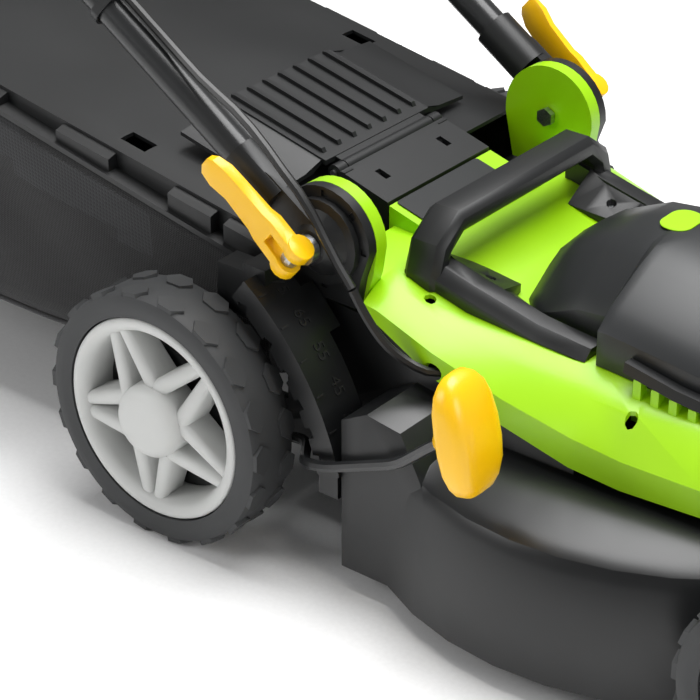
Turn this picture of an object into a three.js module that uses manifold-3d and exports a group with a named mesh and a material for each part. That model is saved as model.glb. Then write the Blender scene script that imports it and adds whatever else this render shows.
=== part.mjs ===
// Push lawn mower: 42 cm electric rotary mower with a rear grass bag, a folding handle and
// one lever that sets the cutting height. Millimetres, +X forward, +Y left, +Z up.
// The working frame has x = 0 on the rear axle (lowest height) and z = 0 on the ground;
// the last lines move the whole group so that its box stands centred on the origin.
import * as THREE from "three";
import { mergeVertices } from "three/addons/utils/BufferGeometryUtils.js";
import Module from "manifold-3d";

const wasm = await Module();
wasm.setup();

// ---------------------------------------------------------------- driving dimensions
const GAP = 0.4; // clearance between two pieces that touch
const SWING = 2.5; // clearance round a piece that moves
const CUT_WIDTH = 420; // circle of the blade tips
const BLADE_GAP = 14; // blade tip to the inside of the deck skirt
const DECK_WALL = 4;
const DECK_BOTTOM = 18; // skirt edge above the ground at the lowest height
const SHOULDER_Z = 116; // height of the bowl's rounded shoulder
const DECK_TOP_Z = 126; // flat top of the bowl, below the covers
const REAR_R = 100; // rear tyre radius
const FRONT_R = 82; // front tyre radius
const WHEEL_W = 45; // tyre width
const TYRE_STEP = 7; // tyre outer face beyond the deck skirt
const AXLE_R = 5; // steel axle rod
const CRANK_BACK = 40; // crank arm: the wheel centre lies this far behind its pivot
const CRANK_UP = 20; // and this far above it at the lowest height
const HEIGHT_NOTCHES = 6;
const HEIGHT_SWEEP = 68.5; // degrees of lever travel, lowest to highest
const LEVER_START = 12; // lever angle at the lowest notch
const SCALE_W = 40; // width of the numbered scale
const COVER_HALF = 148; // half width of the top cover
const COVER_WALL = 3;
const CHUTE_HALF = 132; // half width of the grass tunnel
const SADDLE_HALF = 141; // half width of the deck round the tunnel
const MOTOR_R = 52;
const SHAFT_R = 6;
const DRUM_R = 40; // round towers and brackets at the handle axis
const TOWER_WALL = 11.6;
const TOOTH_RING = 8; // thickness of the fixed toothed ring
const BRACKET_HUB = 16; // thickness of the turning bracket at its hub
const BOLT_R = 4;
const CAM_R = 10; // eccentric end of a clamp lever
const CAM_ARM = 88; // clamp lever, pin to tip
const CAM_ANGLE = 40; // clamp levers lie this far above the horizontal
const HANDLE_Y = 151; // centre plane of the lower handle tubes
const TUBE_R = 12.5;
const TUBE_WALL = 1.5;
const HANDLE_ANGLE = 33.6; // lower handle above the horizontal
const LOWER_LENGTH = 480; // bracket axis to the upper joint
const UPPER_ANGLE = 46;
const UPPER_LENGTH = 600; // upper joint to the grip bar
const FLAT = 10; // thickness of a tube end that is pressed flat
const EAR_HALF = 15; // half width of such an end
const GRIP_R = 16;
const BAIL_R = 4;
const BAIL_ARM = 100; // bail pivot to bail bar
const BAG_LENGTH = 520; // mouth to back
const BAG_HALF = 160;
const BAG_FLOOR = 80; // bottom of the bag above the ground
const CLOTH = 2.4;
const CABLE_R = 3.4;

// ---------------------------------------------------------------- derived places
const rad = THREE.MathUtils.degToRad;
const BLADE_R = CUT_WIDTH / 2;
const BOWL_R = BLADE_R + BLADE_GAP + DECK_WALL;
const TRACK = BOWL_R + TYRE_STEP; // outer face of the wheels
const WHEEL_IN = TRACK - WHEEL_W; // inner face of the wheels
const BLADE_X = REAR_R + BOWL_R - 28; // blade axis
const FRONT_X = BLADE_X + Math.sqrt(BOWL_R ** 2 - WHEEL_IN ** 2) + FRONT_R + 12;
const REAR_PIVOT = { x: CRANK_BACK, z: REAR_R - CRANK_UP };
const FRONT_PIVOT = { x: FRONT_X + CRANK_BACK, z: FRONT_R - CRANK_UP };
const CRANK_Y = WHEEL_IN - 8; // plane of the crank arms
const HANDLE_PIVOT = { x: BLADE_X - 211, z: 238.5 };
const BLADE_Z = DECK_BOTTOM + 12;
const NOSE_HALF = CRANK_Y - 34;
const NOSE_X = FRONT_PIVOT.x + 38;
const TOWER_OUT = COVER_HALF - 10; // outer face of the towers
const TOWER_IN = TOWER_OUT - TOWER_WALL;
const RING_OUT = TOWER_OUT + TOOTH_RING;
const BRACKET_OUT = RING_OUT + GAP + BRACKET_HUB; // outer face of the turning bracket
const LEVER_Y = BRACKET_OUT + 8 + CAM_R + GAP; // cross pin of the lower clamp levers
const UPPER_Y = HANDLE_Y - FLAT - 1; // centre plane of the upper handle tubes
const UPPER_LEVER_Y = HANDLE_Y + FLAT / 2 + 3 + CAM_R + GAP;

// ---------------------------------------------------------------- shape helpers
const ROUND = 36; // facets round the largest circles
const v3 = (x, y, z) => new THREE.Vector3(x, y, z);

function bare(geometry) {
  const g = geometry.index ? geometry.toNonIndexed() : geometry.clone();
  const out = new THREE.BufferGeometry();
  out.setAttribute("position", g.getAttribute("position"));
  return mergeVertices(out, 1e-4);
}

// A closed geometry as a solid, and a solid back as a geometry.
function solid(geometry) {
  const g = bare(geometry);
  return new wasm.Manifold(
    new wasm.Mesh({
      numProp: 3,
      vertProperties: g.attributes.position.array,
      triVerts: new Uint32Array(g.index.array),
    }),
  );
}

function geometryOf(body) {
  const m = body.getMesh();
  const n = m.numProp;
  const pos = new Float32Array((m.vertProperties.length / n) * 3);
  for (let i = 0; i < pos.length / 3; i++) {
    pos.set(m.vertProperties.subarray(i * n, i * n + 3), i * 3);
  }
  const g = new THREE.BufferGeometry();
  g.setAttribute("position", new THREE.BufferAttribute(pos, 3));
  g.setIndex(new THREE.BufferAttribute(m.triVerts, 1));
  return g;
}

const join = (...parts) => parts.map(toSolid).reduce((a, b) => a.add(b));
const cut = (base, ...tools) => tools.map(toSolid).reduce((a, b) => a.subtract(b), toSolid(base));
const toSolid = (p) => (p.isBufferGeometry ? solid(p) : p);

// A box from its low corner to its high corner.
function block(low, high) {
  const g = new THREE.BoxGeometry(high[0] - low[0], high[1] - low[1], high[2] - low[2]);
  return g.translate((high[0] + low[0]) / 2, (high[1] + low[1]) / 2, (high[2] + low[2]) / 2);
}

// A cylinder between two points.
function rod(a, b, radius, sides = 12) {
  const axis = b.clone().sub(a);
  const g = new THREE.CylinderGeometry(radius, radius, axis.length(), sides);
  g.applyQuaternion(new THREE.Quaternion().setFromUnitVectors(v3(0, 1, 0), axis.normalize()));
  return g.translate((a.x + b.x) / 2, (a.y + b.y) / 2, (a.z + b.z) / 2);
}

const rodY = (x, z, y0, y1, r, sides) => rod(v3(x, y0, z), v3(x, y1, z), r, sides);
const rodZ = (x, y, z0, z1, r, sides) => rod(v3(x, y, z0), v3(x, y, z1), r, sides);

function outline(points) {
  return new THREE.Shape(points.map(([a, b]) => new THREE.Vector2(a, b)));
}

const asShape = (s) => (Array.isArray(s) ? outline(s) : s);

// A plan outline (x, y) raised from z0 to z1.
function plate(shape, z0, z1, steps = 8) {
  const g = new THREE.ExtrudeGeometry(asShape(shape), {
    depth: z1 - z0, bevelEnabled: false, curveSegments: steps,
  });
  return g.translate(0, 0, z0);
}

// A side outline (x, z) run from y0 to y1.
function slab(shape, y0, y1, steps = 6) {
  const g = new THREE.ExtrudeGeometry(asShape(shape), {
    depth: y1 - y0, bevelEnabled: false, curveSegments: steps,
  });
  return g.rotateX(Math.PI / 2).translate(0, y1, 0);
}

// A closed profile (radius, height) turned round +Z, whichever way its points run.
function turned(profile, segments = 40) {
  const points = profile.map(([r, z]) => new THREE.Vector2(r, z));
  if (THREE.ShapeUtils.isClockWise(points)) points.reverse();
  if (points[0].x > 0) points.push(points[0].clone());
  return new THREE.LatheGeometry(points, segments).rotateX(Math.PI / 2);
}

// A skin through rings of equal point count, closed at both ends round each ring's middle.
function loft(rings) {
  const n = rings[0].length;
  const pos = rings.flat().flatMap((p) => [p.x, p.y, p.z]);
  const index = [];
  for (let k = 0; k + 1 < rings.length; k++) {
    for (let i = 0; i < n; i++) {
      const a = k * n + i;
      const b = k * n + ((i + 1) % n);
      index.push(a, b, b + n, a, b + n, a + n);
    }
  }
  for (const [k, turn] of [[0, 1], [rings.length - 1, 0]]) {
    const mid = rings[k].reduce((s, p) => s.add(p), v3(0, 0, 0)).divideScalar(n);
    const c = pos.length / 3;
    pos.push(mid.x, mid.y, mid.z);
    for (let i = 0; i < n; i++) {
      const a = k * n + i;
      const b = k * n + ((i + 1) % n);
      index.push(...(turn ? [c, b, a] : [c, a, b]));
    }
  }
  const g = new THREE.BufferGeometry();
  g.setAttribute("position", new THREE.Float32BufferAttribute(pos, 3));
  g.setIndex(index);
  return g;
}

// A loft that comes out facing outwards whichever way its rings run.
function skin(rings) {
  const made = solid(loft(rings));
  return made.volume() > 0 ? made : solid(loft(rings.map((r) => [...r].reverse())));
}

// A path along straight runs with round corners, cut into steps only where it bends.
class BentPath extends THREE.Curve {
  constructor(points, radius, arcSteps = 3) {
    super();
    this.runs = [];
    let from = points[0];
    for (let i = 1; i + 1 < points.length; i++) {
      const p = points[i];
      const back = p.clone().sub(from);
      const next = points[i + 1].clone().sub(p);
      const r = Math.min(radius, back.length() * 0.9, next.length() * 0.45);
      const a = p.clone().sub(back.setLength(r));
      const b = p.clone().add(next.setLength(r));
      this.runs.push([new THREE.LineCurve3(from, a), 1]);
      this.runs.push([new THREE.QuadraticBezierCurve3(a, p, b), arcSteps]);
      from = b;
    }
    this.runs.push([new THREE.LineCurve3(from, points[points.length - 1]), 1]);
    this.steps = this.runs.reduce((sum, [, n]) => sum + n, 0);
  }

  place(u) {
    let k = u * this.steps;
    for (const [curve, n] of this.runs) {
      if (k <= n + 1e-6) return [curve, Math.min(k / n, 1)];
      k -= n;
    }
    return [this.runs.at(-1)[0], 1];
  }

  getPoint(u) {
    const [curve, t] = this.place(u);
    return curve.getPoint(t);
  }

  getPointAt(u) {
    return this.getPoint(u);
  }

  getTangentAt(u) {
    const [curve, t] = this.place(u);
    return curve.getTangent(t);
  }
}

function circleShape(r, sides) {
  const s = [];
  for (let i = 0; i < sides; i++) {
    const t = (i / sides) * 2 * Math.PI;
    s.push([r * Math.cos(t), r * Math.sin(t)]);
  }
  return outline(s);
}

// A round rod along straight runs, and one along a free curve.
function bentRod(points, r, corner, sides = 12) {
  const path = new BentPath(points, corner);
  return new THREE.ExtrudeGeometry(circleShape(r, sides), {
    steps: path.steps, bevelEnabled: false, extrudePath: path,
  });
}

function softRod(points, r, sides = 8, steps = 40) {
  const path = new THREE.CatmullRomCurve3(points, false, "centripetal");
  return new THREE.ExtrudeGeometry(circleShape(r, sides), {
    steps, bevelEnabled: false, extrudePath: path,
  });
}

// A flat strap with round ends between two places [x, z], run from y0 to y1.
function strap(a, b, half, y0, y1) {
  const turn = Math.atan2(b[1] - a[1], b[0] - a[0]);
  const s = new THREE.Shape();
  s.absarc(a[0], a[1], half, turn + Math.PI / 2, turn + 1.5 * Math.PI, false);
  s.absarc(b[0], b[1], half, turn - Math.PI / 2, turn + Math.PI / 2, false);
  return slab(s, y0, y1, 5);
}

const polar = (c, r, deg) => [c.x + r * Math.cos(rad(deg)), c.z + r * Math.sin(rad(deg))];

// The other hand of a shape: every y changes sign, and the faces are turned back out.
function mirrorY(shape) {
  const g = shape.isBufferGeometry ? bare(shape) : geometryOf(shape);
  g.scale(1, -1, 1);
  const index = g.index.array;
  for (let i = 0; i < index.length; i += 3) [index[i + 1], index[i + 2]] = [index[i + 2], index[i + 1]];
  return solid(g);
}

// A shape made for the right side (-Y), and the same for either side: -1 right, +1 left.
const onSide = (side, shape) => (side < 0 ? toSolid(shape) : mirrorY(shape));
const SIDES = [[-1, "right"], [1, "left"]];

// ---------------------------------------------------------------- materials
const finish = (color, roughness, metalness = 0) =>
  new THREE.MeshStandardMaterial({ color, roughness, metalness });
const LIME = finish(0x9ad800, 0.42);
const BLACK = finish(0x2b2b2b, 0.5);
const RIM_GREY = finish(0xd5d6d2, 0.45);
const TYRE = finish(0x3a3a3a, 0.7);
const YELLOW = finish(0xffc400, 0.4);
const STEEL = finish(0xb9bcc0, 0.3, 1);
const DARK_STEEL = finish(0x3a3c40, 0.35, 0.8);
const FABRIC = finish(0x1d1d1f, 0.95);
const FOAM = finish(0x222222, 0.9);

const mower = new THREE.Group();

function piece(name, shape, material, parent = mower) {
  const geometry = shape.isBufferGeometry ? bare(shape) : geometryOf(shape);
  geometry.computeVertexNormals();
  const mesh = new THREE.Mesh(geometry, material);
  mesh.name = name;
  parent.add(mesh);
  return mesh;
}

// ---------------------------------------------------------------- deck
const deckX = (dx) => BLADE_X + dx; // places along the deck count from the blade axis

// Lower edge of the top cover along the deck: [dx, z].
const COVER_FOOT = [
  [-226, 193], [-162, 187], [-114, 163], [-55, 147], [0, 134],
  [40, 131], [100, 131], [170, 131], [240, 131], [285, 131],
];

function bowlProfile(inset) {
  const r = BOWL_R - inset;
  return [
    [0, DECK_BOTTOM - (inset ? 1 : 0)], [r, DECK_BOTTOM - (inset ? 1 : 0)],
    [r - 2, DECK_BOTTOM + 44], [r - 8, SHOULDER_Z - 14 - inset],
    [r - 13, SHOULDER_Z - 4 - inset], [r - 24, SHOULDER_Z + 3 - inset],
    [r - 74, DECK_TOP_Z - inset], [0, DECK_TOP_Z - inset],
  ];
}

function noseOutline(inset) {
  const x0 = BLADE_X + 60;
  const x1 = NOSE_X - inset;
  const h = NOSE_HALF - inset;
  const s = new THREE.Shape();
  s.moveTo(x0, -h);
  s.lineTo(x1 - 60, -h);
  s.quadraticCurveTo(x1 - 4, -h + 4, x1, -h + 80);
  s.lineTo(x1, h - 80);
  s.quadraticCurveTo(x1 - 4, h - 4, x1 - 60, h);
  s.lineTo(x0, h);
  return s;
}

const SADDLE_BACK = REAR_PIVOT.x + 10;
const CHUTE_LIP = REAR_PIVOT.z + AXLE_R + 14; // floor of the grass tunnel at its mouth

function saddleOutline() {
  const top = COVER_FOOT.filter(([dx]) => dx <= 0).map(([dx, z]) => [deckX(dx), z - 1 - GAP]);
  top[0][0] = SADDLE_BACK;
  const corner = REAR_R + 48;
  return [
    [SADDLE_BACK, CHUTE_LIP - 6], ...top, [BLADE_X, DECK_BOTTOM], [corner, DECK_BOTTOM],
  ];
}

function chuteInside() {
  const roof = COVER_FOOT[1][1] - 8;
  return slab([
    [SADDLE_BACK - 30, CHUTE_LIP], [SADDLE_BACK - 30, roof], [deckX(-150), roof],
    [deckX(-105), 148], [deckX(-60), DECK_TOP_Z - DECK_WALL], [BLADE_X, DECK_TOP_Z - DECK_WALL - 2],
    [BLADE_X, DECK_BOTTOM - 1], [REAR_R + 56, DECK_BOTTOM - 1], [SADDLE_BACK + 6, CHUTE_LIP],
  ], -CHUTE_HALF, CHUTE_HALF);
}

const BLOCK_X0 = REAR_R + 46;
const BLOCK_X1 = BLADE_X - 85;
const BLOCK_OUT = WHEEL_IN + 8;

function cornerBlock(top, inset) {
  const z0 = DECK_BOTTOM - (inset ? 1 : 0);
  return slab([
    [BLOCK_X0 + inset, z0], [BLOCK_X0 + inset, top - 12 - inset],
    [BLOCK_X0 + 22, top - inset], [BLOCK_X1 - 18, top - 4 - inset],
    [BLOCK_X1 - inset, 112 - inset], [BLOCK_X1 - inset, z0],
  ], SADDLE_HALF - 2 + inset, BLOCK_OUT - inset);
}

function buildDeck() {
  const bowl = toSolid(turned(bowlProfile(0), ROUND).translate(BLADE_X, 0, 0));
  const bowlIn = toSolid(turned(bowlProfile(DECK_WALL), ROUND).translate(BLADE_X, 0, 0));
  const skirtCore = toSolid(rodZ(BLADE_X, 0, 0, DECK_TOP_Z + 60, BOWL_R, ROUND));
  const saddle = toSolid(slab(saddleOutline(), -SADDLE_HALF, SADDLE_HALF));
  const nose = toSolid(plate(noseOutline(0), DECK_BOTTOM, DECK_TOP_Z - 8));
  const noseIn = cut(plate(noseOutline(DECK_WALL), DECK_BOTTOM - 1, DECK_TOP_Z - 8 - DECK_WALL), skirtCore);
  const blockR = mirrorY(cornerBlock(150, 0));
  const blockL = toSolid(cornerBlock(122, 0));
  const ears = [-1, 1].map((side) => slab([
    [REAR_PIVOT.x - 14, REAR_PIVOT.z - 14], [REAR_PIVOT.x - 14, REAR_PIVOT.z + 14],
    [SADDLE_BACK + 40, REAR_PIVOT.z + 14], [SADDLE_BACK + 60, REAR_PIVOT.z - 14],
  ], side * SADDLE_HALF - (side > 0 ? 7 : 0), side * SADDLE_HALF + (side > 0 ? 0 : 7)));
  const blockInR = cut(mirrorY(cornerBlock(150, DECK_WALL)), skirtCore, saddle);
  const blockInL = cut(cornerBlock(122, DECK_WALL), skirtCore, saddle);
  const bores = [
    rodY(REAR_PIVOT.x, REAR_PIVOT.z, -TRACK, TRACK, AXLE_R + 1, 10),
    rodY(FRONT_PIVOT.x, FRONT_PIVOT.z, -TRACK, TRACK, AXLE_R + 1, 10),
    rodZ(BLADE_X, 0, DECK_TOP_Z - 20, DECK_TOP_Z + 20, SHAFT_R + 14, 24),
    rodZ(BLADE_X, 0, DECK_TOP_Z, DECK_TOP_Z + 80, MOTOR_R + 2, 40),
  ];
  return cut(join(bowl, saddle, nose, blockR, blockL, ...ears),
    bowlIn, chuteInside(), noseIn, blockInR, blockInL, ...bores);
}
piece("deck_shell", buildDeck(), BLACK);

// ---------------------------------------------------------------- top cover
// One row per station: [dx, crease half width, crease z, side half width, side z, foot z, ridge z].
const COVER_ROWS = [
  [-214, 112, 214, TOWER_IN + 4, 205, 196, 217],
  [-179, 122, 212, TOWER_IN + 4, 204, 192, 215],
  [-175, 128, 211, COVER_HALF, 201, 190, 214],
  [-162, 128, 210, COVER_HALF, 199, 188, 213],
  [-114, 131, 193, COVER_HALF + 1, 183, 164, 200],
  [-55, 131, 186, COVER_HALF + 1, 168, 148, 196],
  [0, 130, 182, COVER_HALF, 158, 135, 194],
  [40, 128, 180, COVER_HALF - 1, 154, 132, 192],
  [100, 120, 180, COVER_HALF - 6, 152, 132, 190],
  [170, 104, 180, COVER_HALF - 22, 154, 132, 188],
  [235, 80, 170, COVER_HALF - 48, 152, 132, 176],
  [262, 56, 152, COVER_HALF - 76, 144, 132, 156],
];

function coverRing([dx, w1, z1, w2, z2, z3, z0], inset) {
  const foot = z3 - (inset ? 4 : 0);
  const half = [
    [0, z0 - inset], [Math.max(w1 - 22, 10), z0 - 2 - inset], [w1 - inset * 0.4, z1 - inset],
    [w2 - inset, z2 - inset * 0.4], [w2 - inset, foot],
  ];
  const right = half.slice(1).map(([y, z]) => v3(deckX(dx), -y, z));
  const left = half.slice(1).map(([y, z]) => v3(deckX(dx), y, z)).reverse();
  return [v3(deckX(dx), 0, half[0][1]), ...right, v3(deckX(dx), 0, foot), ...left];
}

const COVER_SOLID = skin(COVER_ROWS.map((r) => coverRing(r, -0.6)));

// Tower that stands beside the handle bracket, round on top.
function towerOutline(foot) {
  const h = HANDLE_PIVOT;
  const s = new THREE.Shape();
  s.moveTo(h.x - DRUM_R * 0.8, foot);
  s.lineTo(h.x - DRUM_R, h.z - 6);
  s.absarc(h.x, h.z, DRUM_R, Math.PI, 0, true);
  s.lineTo(h.x + DRUM_R - 3, h.z - 20);
  s.lineTo(h.x + DRUM_R - 10, foot);
  return s;
}

// Raised spine between the flap and the lifting bar: [dx, z].
const SPINE_HALF = 62;
const SPINE = [
  [-219, 198], [-219, 230], [-189, 222], [-172, 214], [-158, 203], [-158, 198],
];
const SPINE_HOLLOW = [
  [-222, 180], [-222, 226], [-190, 218.5], [-174, 210], [-164, 203], [-164, 180],
];
// Route of the cable from inside the cover out to the handle bracket.
const TAIL_ROUTE = [
  [202, -126, 171], [196, -137, 168.5], [185.5, -150, 168.6], [172.7, -156.5, 173.9], [157, -163, 186],
  [144, -168, 205], [133.8, -170.5, 223.4],
];
const MOTOR_WINDOW = { back: -78, front: 150, half: 70 };
const RIB_PITCH = 14;

// Half width of the motor cover and height of its crown along the deck: [dx, crown z, half width].
const CROWN = [
  [-98, 212, 70], [-92, 226, 76], [-78, 238, 81], [-60, 246, 84], [-40, 255, 85], [-14, 258, 86],
  [-8, 259, 108], [0, 259, 108], [60, 253, 108], [120, 240, 100], [180, 216, 84], [218, 196, 60],
];

function along(rows, dx, column) {
  const i = Math.max(1, rows.findIndex((r) => r[0] >= dx));
  const [a, b] = [rows[i - 1], rows[i]];
  const t = THREE.MathUtils.clamp((dx - a[0]) / (b[0] - a[0]), 0, 1);
  return a[column] + (b[column] - a[column]) * t;
}

const TRIM = { from: 20, to: 124, zFrom: 209, zTo: 190, thick: 7, wide: 10 };
const trimTop = (dx) => TRIM.zFrom + ((dx - TRIM.from) / (TRIM.to - TRIM.from)) * (TRIM.zTo - TRIM.zFrom);
const trimIn = (dx) => along(CROWN, dx, 2) + 0.8;

function ventRib(dx) {
  const y = trimIn(dx);
  return block([deckX(dx), -y - TRIM.wide + 1, 168], [deckX(dx) + 6, -y - 1, trimTop(dx + 6) - TRIM.thick - GAP]);
}

function buildCover() {
  const outer = skin(COVER_ROWS.map((r) => coverRing(r, 0)));
  const rows = COVER_ROWS.map((r) => [...r]);
  rows[0][0] -= 20; // the cover is open at the back, where the tunnel comes through
  rows[rows.length - 1][0] -= 4;
  const inner = skin(rows.map((r) => coverRing(r, COVER_WALL)));
  const towers = [
    slab(towerOutline(196), TOWER_IN, TOWER_OUT - GAP, 9),
    slab(towerOutline(196), -TOWER_OUT + GAP, -TOWER_IN, 9),
  ];
  const spine = slab(SPINE.map(([dx, z]) => [deckX(dx), z]), -SPINE_HALF, SPINE_HALF);
  const hollow = slab(SPINE_HOLLOW.map(([dx, z]) => [deckX(dx), z]), -SPINE_HALF + 3, SPINE_HALF - 3);
  const w = MOTOR_WINDOW;
  const window = block([deckX(w.back), -w.half, 150], [deckX(w.front), w.half, 240]);
  const ribs = [];
  for (let dx = TRIM.from + 8; dx + 6 < TRIM.to; dx += RIB_PITCH) {
    ribs.push(ventRib(dx), mirrorY(ventRib(dx)));
  }
  const shell = cut(join(cut(outer, inner), spine, ...towers, ...ribs), hollow, window);
  const bolts = rodY(HANDLE_PIVOT.x, HANDLE_PIVOT.z, -TOWER_OUT - 5, TOWER_OUT + 5, BOLT_R + GAP, 10);
  const screws = [[-140, 117], [36, 130]].flatMap(([dx, y]) => [-1, 1].map((s) =>
    rodZ(deckX(dx), s * y, 150, 230, 4.5, 8)));
  const [out, into] = [v3(...TAIL_ROUTE[2]), v3(...TAIL_ROUTE[1])];
  const through = into.clone().sub(out);
  const notch = rod(out.clone().sub(through), into.add(through), CABLE_R + 3, 14);
  return cut(shell, bolts, notch, ...screws);
}
piece("top_cover", buildCover(), LIME);

// ---------------------------------------------------------------- lifting handle
const BAR = { back: -169, front: -139, thick: 18, edge: 5 };
const panelFoot = (dx) => along(COVER_ROWS, dx, 2) - 8; // inside the cover, cut off at its surface
const FOOT_Y = 110; // outer side of the handle's rails
const RAIL_W = 22;

// A chamfered section of the arch at (y, z), square to the direction (dy, dz).
function archRing([y, z], [dy, dz]) {
  const t = BAR.thick / 2;
  const c = BAR.edge;
  const n = Math.hypot(dy, dz);
  const at = (dx, q) => v3(deckX(dx), y - (dz / n) * q, z + (dy / n) * q);
  return [
    at(BAR.back + c, t), at(BAR.front - c, t), at(BAR.front, t - c), at(BAR.front, -t + c),
    at(BAR.front - c, -t), at(BAR.back + c, -t), at(BAR.back, -t + c), at(BAR.back, t - c),
  ];
}

// Rails beside the motor cover, and the sloping panels inside them: [dx, low z, high z].
function railRing(dx, top) {
  const [a, b] = [-FOOT_Y, -FOOT_Y + RAIL_W];
  return [
    v3(deckX(dx), a, panelFoot(dx)), v3(deckX(dx), b, panelFoot(dx)), v3(deckX(dx), b, top),
    v3(deckX(dx), a + 8, top), v3(deckX(dx), a, top - 8),
  ];
}

function panelRing(dx, yIn, zIn, zOut) {
  const b = -FOOT_Y + RAIL_W - 1;
  const foot = panelFoot(dx);
  return [v3(deckX(dx), -yIn, foot), v3(deckX(dx), -yIn, zIn), v3(deckX(dx), b, zOut), v3(deckX(dx), b, foot)];
}

function buildCarryHandle() {
  const right = [[-FOOT_Y + 6, 196], [-FOOT_Y + 6, 214], [-98, 233], [-80, 247]];
  const path = [...right, ...right.map(([y, z]) => [-y, z]).reverse()];
  const arch = skin(path.map((p, i) => {
    const a = path[Math.max(i - 1, 0)];
    const b = path[Math.min(i + 1, path.length - 1)];
    return archRing(p, [b[0] - a[0], b[1] - a[1]]);
  }));
  const rail = skin([railRing(-168, 222), railRing(-162, 228), railRing(-114, 216), railRing(-60, 204),
    railRing(-16, 200)]);
  const panel = skin([panelRing(-146, 60, 208, 226), panelRing(-132, 60, 207, 219),
    panelRing(-102, 62, 205, 212), panelRing(-99, 76, 205, 212), panelRing(-60, 88, 201, 203)]);
  const screw = rodZ(deckX(-118), -76, 190, 230, 4, 10);
  const shape = join(arch, rail, mirrorY(rail), panel, mirrorY(panel));
  const spineTop = slab(SPINE.map(([dx, z]) => [deckX(dx), z + 0.8]), -SPINE_HALF - 0.8, SPINE_HALF + 0.8);
  return cut(shape, COVER_SOLID, spineTop, screw, mirrorY(screw));
}
piece("carry_handle", buildCarryHandle(), BLACK);

// ---------------------------------------------------------------- motor cover and its side trims
function crownRing([dx, z, half], inset) {
  const drop = [[0, 0], [0.38, 3], [0.55, 10], [0.86, 27], [1, 40]];
  const h = half - inset;
  const low = inset ? 140 : 165;
  const side = drop.map(([u, d]) => [u * h, Math.max(z - inset - d, low + 12)]);
  const right = side.slice(1).map(([y, q]) => v3(deckX(dx), -y, q));
  const left = side.slice(1).map(([y, q]) => v3(deckX(dx), y, q)).reverse();
  return [v3(deckX(dx), 0, z - inset), ...right, v3(deckX(dx), -h, low), v3(deckX(dx), h, low), ...left];
}

function buildMotorCover() {
  const outer = skin(CROWN.map((r) => crownRing(r, 0)));
  const rows = CROWN.map((r) => [...r]);
  rows[0][0] += 3;
  rows[rows.length - 1][0] -= 4;
  const inner = skin(rows.map((r) => crownRing(r, 3)));
  const recess = block([deckX(-34), -34, 257.4], [deckX(8), 34, 270]);
  return cut(outer, inner, COVER_SOLID, recess);
}
piece("motor_cover", buildMotorCover(), BLACK);

function buildTrim() {
  const ring = (dx) => {
    const [a, b] = [-trimIn(dx) - TRIM.wide, -trimIn(dx)];
    const [top, low] = [trimTop(dx), trimTop(dx) - TRIM.thick];
    return [v3(deckX(dx), a, low), v3(deckX(dx), b, low), v3(deckX(dx), b, top), v3(deckX(dx), a + 2, top)];
  };
  const rows = [TRIM.from, 40, 60, 80, 100, TRIM.to];
  return cut(skin(rows.map(ring)), COVER_SOLID);
}
for (const [side, name] of SIDES) piece(`vent_trim_${name}`, onSide(side, buildTrim()), BLACK);

// ---------------------------------------------------------------- motor and blade
const MOTOR_FOOT = DECK_TOP_Z + GAP;
const MOTOR_TOP = 226;

function buildMotorCan() {
  const can = rodZ(BLADE_X, 0, MOTOR_FOOT, MOTOR_TOP, MOTOR_R, 28);
  const space = rodZ(BLADE_X, 0, MOTOR_FOOT + 10, MOTOR_TOP + 1, MOTOR_R - 9, 24);
  const seat = rodZ(BLADE_X, 0, MOTOR_FOOT - 1, MOTOR_FOOT + 20, 16, 28);
  return cut(can, space, seat);
}

function buildEndCap() {
  const cap = rodZ(BLADE_X, 0, MOTOR_TOP + GAP, MOTOR_TOP + 13, MOTOR_R, 28);
  const plug = rodZ(BLADE_X, 0, MOTOR_TOP - 8, MOTOR_TOP + 2, MOTOR_R - 10, 24);
  const bore = rodZ(BLADE_X, 0, MOTOR_TOP - 10, MOTOR_TOP + 8, SHAFT_R + 1, 20);
  return cut(join(cap, plug), bore);
}

piece("motor_housing", buildMotorCan(), DARK_STEEL);
piece("motor_end_cap", buildEndCap(), BLACK);
piece("motor_bearing", cut(rodZ(BLADE_X, 0, MOTOR_FOOT + 1, MOTOR_FOOT + 9, 15.5, 28),
  rodZ(BLADE_X, 0, MOTOR_FOOT, MOTOR_FOOT + 10, SHAFT_R + GAP, 20)), STEEL);
piece("brake_circuit_box", block([deckX(72), -34, 136], [deckX(122), 34, 164]), BLACK);

const HUB_TOP = BLADE_Z + 24;
const rotor = rodZ(BLADE_X, 0, MOTOR_FOOT + 24, MOTOR_TOP - 14, MOTOR_R - 18, 28);
const shaft = rodZ(BLADE_X, 0, HUB_TOP - 20, MOTOR_TOP + 4, SHAFT_R, 20);
const shaftThread = rodZ(BLADE_X, 0, HUB_TOP - 21, HUB_TOP - 2, 2.6, 12);
piece("motor_shaft", cut(join(rotor, shaft), shaftThread), STEEL);

function buildAdapter() {
  const body = turned([[0, BLADE_Z + 0.4], [26, BLADE_Z + 0.4], [26, BLADE_Z + 6], [16, HUB_TOP], [0, HUB_TOP]], 28);
  const vanes = [0, 1, 2, 3, 4, 5].map((i) =>
    block([18, -1.5, BLADE_Z + 2], [40, 1.5, HUB_TOP - 6]).rotateZ((i * Math.PI) / 3));
  const fan = join(body, ...vanes);
  return cut(fan, rodZ(0, 0, BLADE_Z - 5, HUB_TOP + 5, SHAFT_R + GAP, 20)).translate([BLADE_X, 0, 0]);
}
piece("blade_adapter", buildAdapter(), BLACK);

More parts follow.
